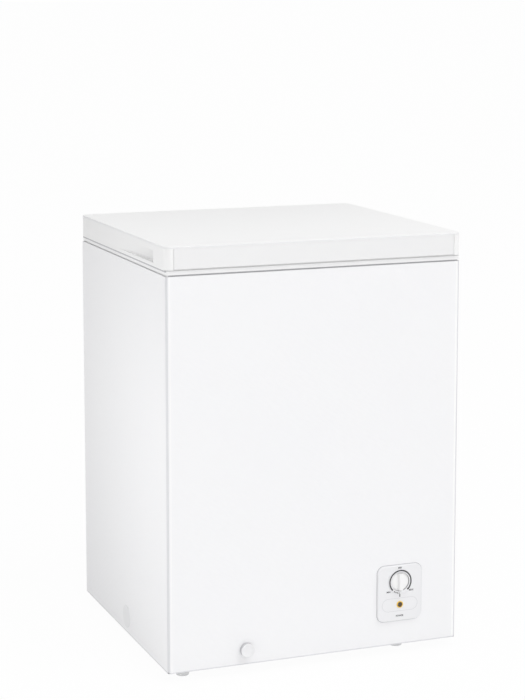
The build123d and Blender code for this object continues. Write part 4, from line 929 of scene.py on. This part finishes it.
# %% Lamp line and panel edge shade
LINE_SIDES, LINE_CORNER, LINE_WIDTH = (78, 27), 13.473, 0.6
BEZEL_SIDES, BEZEL_CORNER, BEZEL_Z, SHADE_BORDER = (97, 115), 15, 125.5, 1.3


def line_frame(middle, sides, corner, line):
    """A thin raised line round an oblong with round corners, facing the front."""
    width, height = sides
    half = Vector((width / 2, 0, height / 2))
    plate(Vector(middle) - half, Vector(middle) + half, "FACING_FRONT")
    round_corners(corner, segments=12)
    bpy.ops.mesh.inset(thickness=line * MM)
    take_out("FACE")
    thicken()


# Relief line: a grey so pale that only its shape is seen
grey_line = moulded("panel_relief_line", "D2D2D5", "CDCDD0", 0.5)
line_frame(LENS_BASE, LINE_SIDES, LINE_CORNER, LINE_WIDTH)
finish_piece("lamp_frame_line", "panel_plastic", "cabinet", finish=grey_line)

# Painted shade: a dull grey outline round the panel's edges
panel_edge_painted_shade = moulded("grey_panel_edge_painted_shade", "C9C9CC", "C3C3C6", 0.8, relief=0.1)
shade_border_sides = [side + 2 * SHADE_BORDER for side in BEZEL_SIDES]
shade_border_middle = (PANEL_X, SHELL_LOW.y, BEZEL_Z)
line_frame(shade_border_middle, shade_border_sides, BEZEL_CORNER + SHADE_BORDER, SHADE_BORDER)
finish_piece("bezel_painted_shade_edge", "gasket_vinyl", "cabinet", finish=panel_edge_painted_shade)

# %% [markdown]
# ## The hinge springs
# A torsion spring round each hinge pin helps to lift the lid. It is hard steel wire, wound six
# times, with one leg that presses on the lower leaf. A ring of points is moved off the axis, the
# Screw modifier winds it, and the first end is pulled down into the leg.

# %% Hinge springs
HINGE_Y, HINGE_Z, SPRING_RADIUS, SPRING_WIRE = 289.3, 803, 4.3, 1.0
SPRING_BEGIN, SPRING_END, SPRING_TURNS, SPRING_LEG = -10.2, 15.2, 6, 26
SPRING_X = 188
WIRE_SIDES, TURN_STEPS = 12, 24


def hinge_spring(name, middle, node):
    deselect()
    begin = middle + SPRING_BEGIN
    hinge = Vector((begin, HINGE_Y, HINGE_Z))
    bpy.ops.mesh.primitive_circle_add(
        vertices=WIRE_SIDES, radius=SPRING_WIRE * MM, location=hinge * MM
    )
    enter("EDIT")
    bpy.ops.transform.translate(value=Vector((0, -SPRING_RADIUS, 0)) * MM)
    enter("OBJECT")
    modify(
        "SCREW", axis="X", angle=-2 * math.pi, iterations=SPRING_TURNS,
        screw_offset=(SPRING_END - SPRING_BEGIN) / SPRING_TURNS * MM,
        steps=TURN_STEPS, render_steps=TURN_STEPS,
    )
    enter("EDIT")

    def on_first_end(place):
        near = abs(place.x - begin) < SPRING_WIRE + IN_PLANE
        return near and abs(place.z - HINGE_Z) < IN_PLANE and place.y < HINGE_Y

    choose("EDGE", on_first_end)
    draw_out((0, 0, -SPRING_LEG))
    choose_all()
    bpy.ops.mesh.fill_holes(sides=0)
    outwards()
    finish_piece(name, "spring_steel", "cabinet", node)


hinge_spring("wound_spring_left", -SPRING_X, "hinge_spring_left")
hinge_spring("wound_spring_right", SPRING_X, "hinge_spring_right")

# %% [markdown]
# ## The basket's frame
# A basket of white coated wire hangs on the ledge inside. A stout rim and two loops hold the bent
# wires. Wire could be swept along a path, but a loop is simply the outline of a plate whose corners
# are rounded: the outline becomes a curve, gets its round section and is made a mesh.

# %% Basket frame
BASKET_X, BASKET_Y, HANGING_Y = (50, 242), (-215.3, 212.7), (-228.3, 225.7)
RIM_Z, RIM_CORNER, RIM_WIRE = 767.8, 30, 2.5
LOOP_Z, BELT_Z, LOOP_CORNER, LOOP_WIRE = 763.25, 668.25, 12, 2


def wire_of(radius):
    """Turns the edges of the active piece into round wire."""
    enter("OBJECT")
    bpy.ops.object.convert(target="CURVE")
    line = bpy.context.object.data
    line.bevel_depth = radius * MM
    line.bevel_resolution = 2
    line.use_fill_caps = True
    bpy.ops.object.convert(target="MESH")
    return bpy.context.object


def wire_loop(y_range, z, corner, radius):
    plate((BASKET_X[0], y_range[0], z), (BASKET_X[1], y_range[1], z), "LYING")
    round_corners(corner, segments=8)
    take_out("ONLY_FACE")
    return wire_of(radius)


join([
    wire_loop(HANGING_Y, RIM_Z, RIM_CORNER, RIM_WIRE),
    wire_loop(BASKET_Y, LOOP_Z, LOOP_CORNER, LOOP_WIRE),
    wire_loop(BASKET_Y, BELT_Z, LOOP_CORNER, LOOP_WIRE),
])
finish_piece("basket_frame", "basket_wire", "basket", "basket_rim")

# %% [markdown]
# ## The basket's wires
# Thin wires run both ways, each bent down, across the floor and up again: three sides of a plate
# with two rounded corners. An Array modifier sets the copies side by side.

# %% Basket wires
FLOOR_Z = 573.25
WIRE, WIRE_BEND, WIRE_INSET, WIRE_MARGIN = 1.3, 4, 3.35, 24
LONG_WIRES, CROSS_WIRES = 8, 15


def bent_wire(low, high, turn, step, count):
    """A wire bent down, across and up again, and its copies a step apart."""
    plate(low, high, turn)
    choose("VERT", lambda place: place.z < LOOP_Z - NEAR)
    round_corners(WIRE_BEND, segments=5)
    choose_all()
    take_out("ONLY_FACE")
    choose("EDGE", lambda place: place.z > LOOP_Z - IN_PLANE)
    take_out("EDGE")
    wire_of(WIRE)
    modify(
        "ARRAY", count=count, use_relative_offset=False, use_constant_offset=True,
        constant_offset_displace=Vector(step) * MM,
    )


def row_of(span, count):
    """The first place and the step of some wires spread over a span."""
    return span[0] + WIRE_MARGIN, (span[1] - span[0] - 2 * WIRE_MARGIN) / (count - 1)


x0, x1 = BASKET_X[0] + WIRE_INSET, BASKET_X[1] - WIRE_INSET
y, y_step = row_of(BASKET_Y, CROSS_WIRES)
bent_wire((x0, y, FLOOR_Z), (x1, y, LOOP_Z), "FACING_FRONT", (0, y_step, 0), CROSS_WIRES)
finish_piece("basket_cross_bars", "basket_wire", "basket", "basket_cross_wires")

y0, y1 = BASKET_Y[0] + WIRE_INSET, BASKET_Y[1] - WIRE_INSET
x, x_step = row_of(BASKET_X, LONG_WIRES)
long_floor = FLOOR_Z + 2 * WIRE
bent_wire((x, y0, long_floor), (x, y1, LOOP_Z), "FACING_SIDE", (x_step, 0, 0), LONG_WIRES)
finish_piece("basket_long_bars", "basket_wire", "basket", "basket_long_wires")

# %% [markdown]
# ## The lid's inner sheet
# Under the lid, a thin plastic sheet is drawn over a mould into a plug that closes the opening, and
# a raised panel stiffens it. It is a plate with round corners, drawn out step by step: each step
# gives the half width, the half depth and the height.

# %% Lid inner sheet
SHEET_MIDDLE, SHEET_CORNER = -1.3, 38
SHEET_STEPS = [
    (280.5, 254.2, 809.5), (280.5, 254.2, 808), (251, 226.5, 808), (248.6, 224, 807.4),
    (247, 222.4, 805.8), (238.2, 213.2, 786.4), (237, 212, 784.4), (235, 210, 783.3),
    (232, 207, 783), (196, 171, 783), (194.4, 169.4, 782.6), (192.4, 167.4, 780.9),
    (190.8, 165.8, 780.2), (188, 163, 780),
]


def stepped(middle_y, corner, steps):
    """A plate with rounded corners, drawn out through (half width, half depth, height) steps."""
    wide, deep, z = steps[0]
    plate((-wide, middle_y - deep, z), (wide, middle_y + deep, z), "LYING")
    round_corners(corner, segments=10)
    bpy.ops.mesh.select_mode(type="FACE")
    choose_all()
    for new_wide, new_deep, new_z in steps[1:]:
        growth = (new_wide / wide, new_deep / deep, 1)
        draw_out((0, 0, new_z - z), growth, (0, middle_y, new_z))
        wide, deep, z = new_wide, new_deep, new_z


stepped(SHEET_MIDDLE, SHEET_CORNER, SHEET_STEPS)
outwards()
finish_piece("drawn_lid_sheet", "lid_liner_plastic", "lid", "lid_liner")

# %% [markdown]
# ## The lid's seal
# Round the sheet runs a soft vinyl seal, a bellows with a broad foot that holds the magnets. It is
# stepped like the sheet, with an inset and a drop for each step. The plates at its two ends are
# taken out, and a bridge between the two edges at the top closes the ring.

# %% Lid seal
SEAL_MIDDLE, SEAL_CORNER, SEAL_WIDE, SEAL_DEEP, SEAL_TOP = -2.55, 22, 292.5, 266.25, 805
SEAL_PROFILE = [
    (0.4, 0), (0.4, 0.6), (1.8, 1.4), (1.8, 1.9), (0.3, 2.7), (0, 3.4), (0, 4.6), (0.5, 5.4),
    (1.6, 5.8), (12.4, 5.8), (13.5, 5.4), (14, 4.6), (14, 3.4), (13.7, 2.7), (12.2, 1.9),
    (12.2, 1.4), (13.6, 0.6), (13.6, 0),
]


def at_seal_top(place):
    return place.z > SEAL_TOP - IN_PLANE


seal_steps = [(SEAL_WIDE - i, SEAL_DEEP - i, SEAL_TOP - drop) for i, drop in SEAL_PROFILE]
stepped(SEAL_MIDDLE, SEAL_CORNER, seal_steps)
take_out("FACE")
choose("FACE", at_seal_top)
take_out("ONLY_FACE")
choose("EDGE", at_seal_top)
bpy.ops.mesh.bridge_edge_loops()
outwards()
finish_piece("bellows_seal", "gasket_vinyl", "lid", "lid_gasket")

# %% [markdown]
# ## The screws
# Pan-head screws hold the rear cover and the hinges, all driven from the back. One screw is turned,
# and a cross is cut into its head with two blocks. Each slot could be modelled face by face, but a
# Boolean modifier cuts both in a clean way.

# %% One screw
HEAD_HEIGHT = 2.0
SCREW_PROFILE = [
    (0.5, -10), (1.6, -8.4), (1.9, -7.6), (1.9, 0), (4, 0), (4, 0.7), (3.75, 1.3), (3, 1.8),
    (1.8, HEAD_HEIGHT),
]
CROSS_SIZE = (4.4, 2.6, 0.9)

screw = turned((0, 0, 0), (0, 1, 0), SCREW_PROFILE, sides=24)
for turn in (0, math.pi / 2):
    deselect()
    head = Vector((0, HEAD_HEIGHT, 0))
    bpy.ops.mesh.primitive_cube_add(size=MM, location=head * MM, rotation=(0, turn, 0))
    cutter = bpy.context.object
    cutter.scale = CROSS_SIZE
    combine(screw, cutter, "DIFFERENCE")
print("screw", len(screw.data.polygons), "faces")

# %% [markdown]
# ## All the screws
# Copies go where the frame has its screws: a merged copy of the frame's part is split into loose
# solids, and each solid's box gives a place. The copies for one part are joined.

# %% All screws
def solid_places(name):
    """For each solid in a part of the frame, its middle in x and z and its rearmost y, in mm."""
    measured = bpy.data.objects.new("measured", nodes[name].data.copy())
    scene.collection.objects.link(measured)
    pick(measured)
    enter("EDIT")
    choose_all()
    bpy.ops.mesh.remove_doubles(threshold=MERGE_DISTANCE * MM)
    bpy.ops.mesh.separate(type="LOOSE")
    enter("OBJECT")
    places = []
    for solid in bpy.context.selected_objects:
        corners = [v.co / MM for v in solid.data.vertices]
        low = [min(c[i] for c in corners) for i in range(3)]
        high = [max(c[i] for c in corners) for i in range(3)]
        places.append(((low[0] + high[0]) / 2, high[1], (low[2] + high[2]) / 2))
    bpy.ops.object.delete()
    return sorted(places)


for name, node, body in (
    ("cross_screws_cover", "rear_cover_screws", "cabinet"),
    ("cross_screws_leaf", "hinge_base_screws", "cabinet"),
    ("cross_screws_arm", "hinge_arm_screws", "lid"),
):
    join([copy_to(screw, (x, y - HEAD_HEIGHT, z)) for x, y, z in solid_places(node)])
    finish_piece(name, "zinc_steel", body, node)
bpy.data.objects.remove(screw)

# %% [markdown]
# ## Light
# The picture is a high-key studio one: light comes from everywhere, a little more of it from high
# up on the right. A bright sky alone would give no direction, and lamps alone would give hard
# shadows, so a dim white sky is mixed with three soft panels: a high one, a low one in front for
# the feet, and a weak one for the side. Only what camera, mirrors and glass see is plain white.

# %% Sky and panels
AMBIENT = 0.71
WHITE = (1, 1, 1, 1)
WIDE, NARROW = 180, 24


def seen_directly(tree):
    """1 for a ray from the camera, a mirror or a clear piece, and 0 for all other light."""
    ray = add(tree, "LightPath").outputs
    seen = ray["Is Camera Ray"]
    for kind in ("Is Glossy Ray", "Is Transmission Ray"):
        seen = add(tree, "Math", {0: seen, 1: ray[kind]}, operation="MAXIMUM").outputs[0]
    return seen


def panel(name, place, aim, size, power, spread):
    """A large soft lamp at a place in metres, turned towards a point."""
    lamp = bpy.data.lights.new(name, "AREA")
    lamp.shape = "DISK"
    lamp.size = size
    lamp.energy = power
    lamp.spread = math.radians(spread)
    holder = bpy.data.objects.new(name, lamp)
    scene.collection.objects.link(holder)
    holder.location = place
    holder.rotation_euler = (Vector(aim) - Vector(place)).to_track_quat("-Z", "Y").to_euler()


scene.view_settings.view_transform = "Standard"
scene.world = bpy.data.worlds.new("white_studio")
scene.world.use_nodes = True
sky = scene.world.node_tree
glow = add(sky, "MapRange", {"Value": seen_directly(sky), "To Min": AMBIENT, "To Max": 1.0})
fill(sky, sky.nodes["Background"], {"Color": WHITE, "Strength": glow.outputs[0]})

panel("key_panel", (2.3, -3.1, 7.2), (0, 0, 0.4), size=4.0, power=172, spread=WIDE)
panel("low_panel", (-1.2, -4.6, 0.3), (0, -0.28, 0.25), size=0.8, power=25.5, spread=WIDE)
panel("side_panel", (-3.5, 1.0, 0.8), (-0.3, -0.36, 0.45), size=0.5, power=0.53, spread=NARROW)

# %% [markdown]
# ## Ground and net
# The ground is paper that mostly glows white to the camera, so it reads white without more light on
# the object and still keeps a soft shadow. Above the back hangs a thin black net, as photographers
# use. It takes a little sky from the lid's back, so the lid grows lighter to the front. The net
# itself isn't seen.

# %% Ground and net
GROUND_SIZE = (300, 300)
GROUND_GLOW = 0.96
NET_PLACE, NET_SIZE, NET_DENSITY = (0.1, 0.5, 1.42), (1.3, 0.5), 0.42


def stage_sheet(name, place, size, material):
    """A flat sheet of the studio, with its place and size in metres."""
    deselect()
    bpy.ops.mesh.primitive_plane_add(size=1, location=place)
    sheet = bpy.context.object
    sheet.name = name
    sheet.scale = (*size, 1)
    apply_place()
    sheet.data.materials.append(material)
    return sheet


# Paper: white, with no shine of its own
paper, tree, shader, _ = start_finish(
    "white_ground_paper", Base_Color=srgb("F4F4F4"), Roughness=0.9
)
white = add(tree, "Emission", {"Color": WHITE, "Strength": 1.0})
share = add(tree, "Math", {0: seen_directly(tree), 1: GROUND_GLOW}, operation="MULTIPLY")
blend = add(tree, "MixShader", {0: share.outputs[0], 1: shader.outputs[0], 2: white.outputs[0]})
fill(tree, tree.nodes["Material Output"], {"Surface": blend.outputs[0]})
ground = stage_sheet("studio_ground", (0, 0, 0), GROUND_SIZE, paper)

# Net: black threads with more gaps than cloth
cloth = start_finish(
    "black_net_cloth", Base_Color=srgb("202020"), Roughness=0.9, Alpha=NET_DENSITY
)[0]
net = stage_sheet("shading_net", NET_PLACE, NET_SIZE, cloth)
net.visible_camera = net.visible_glossy = net.visible_transmission = False
print("studio sheets:", ground.name, net.name)
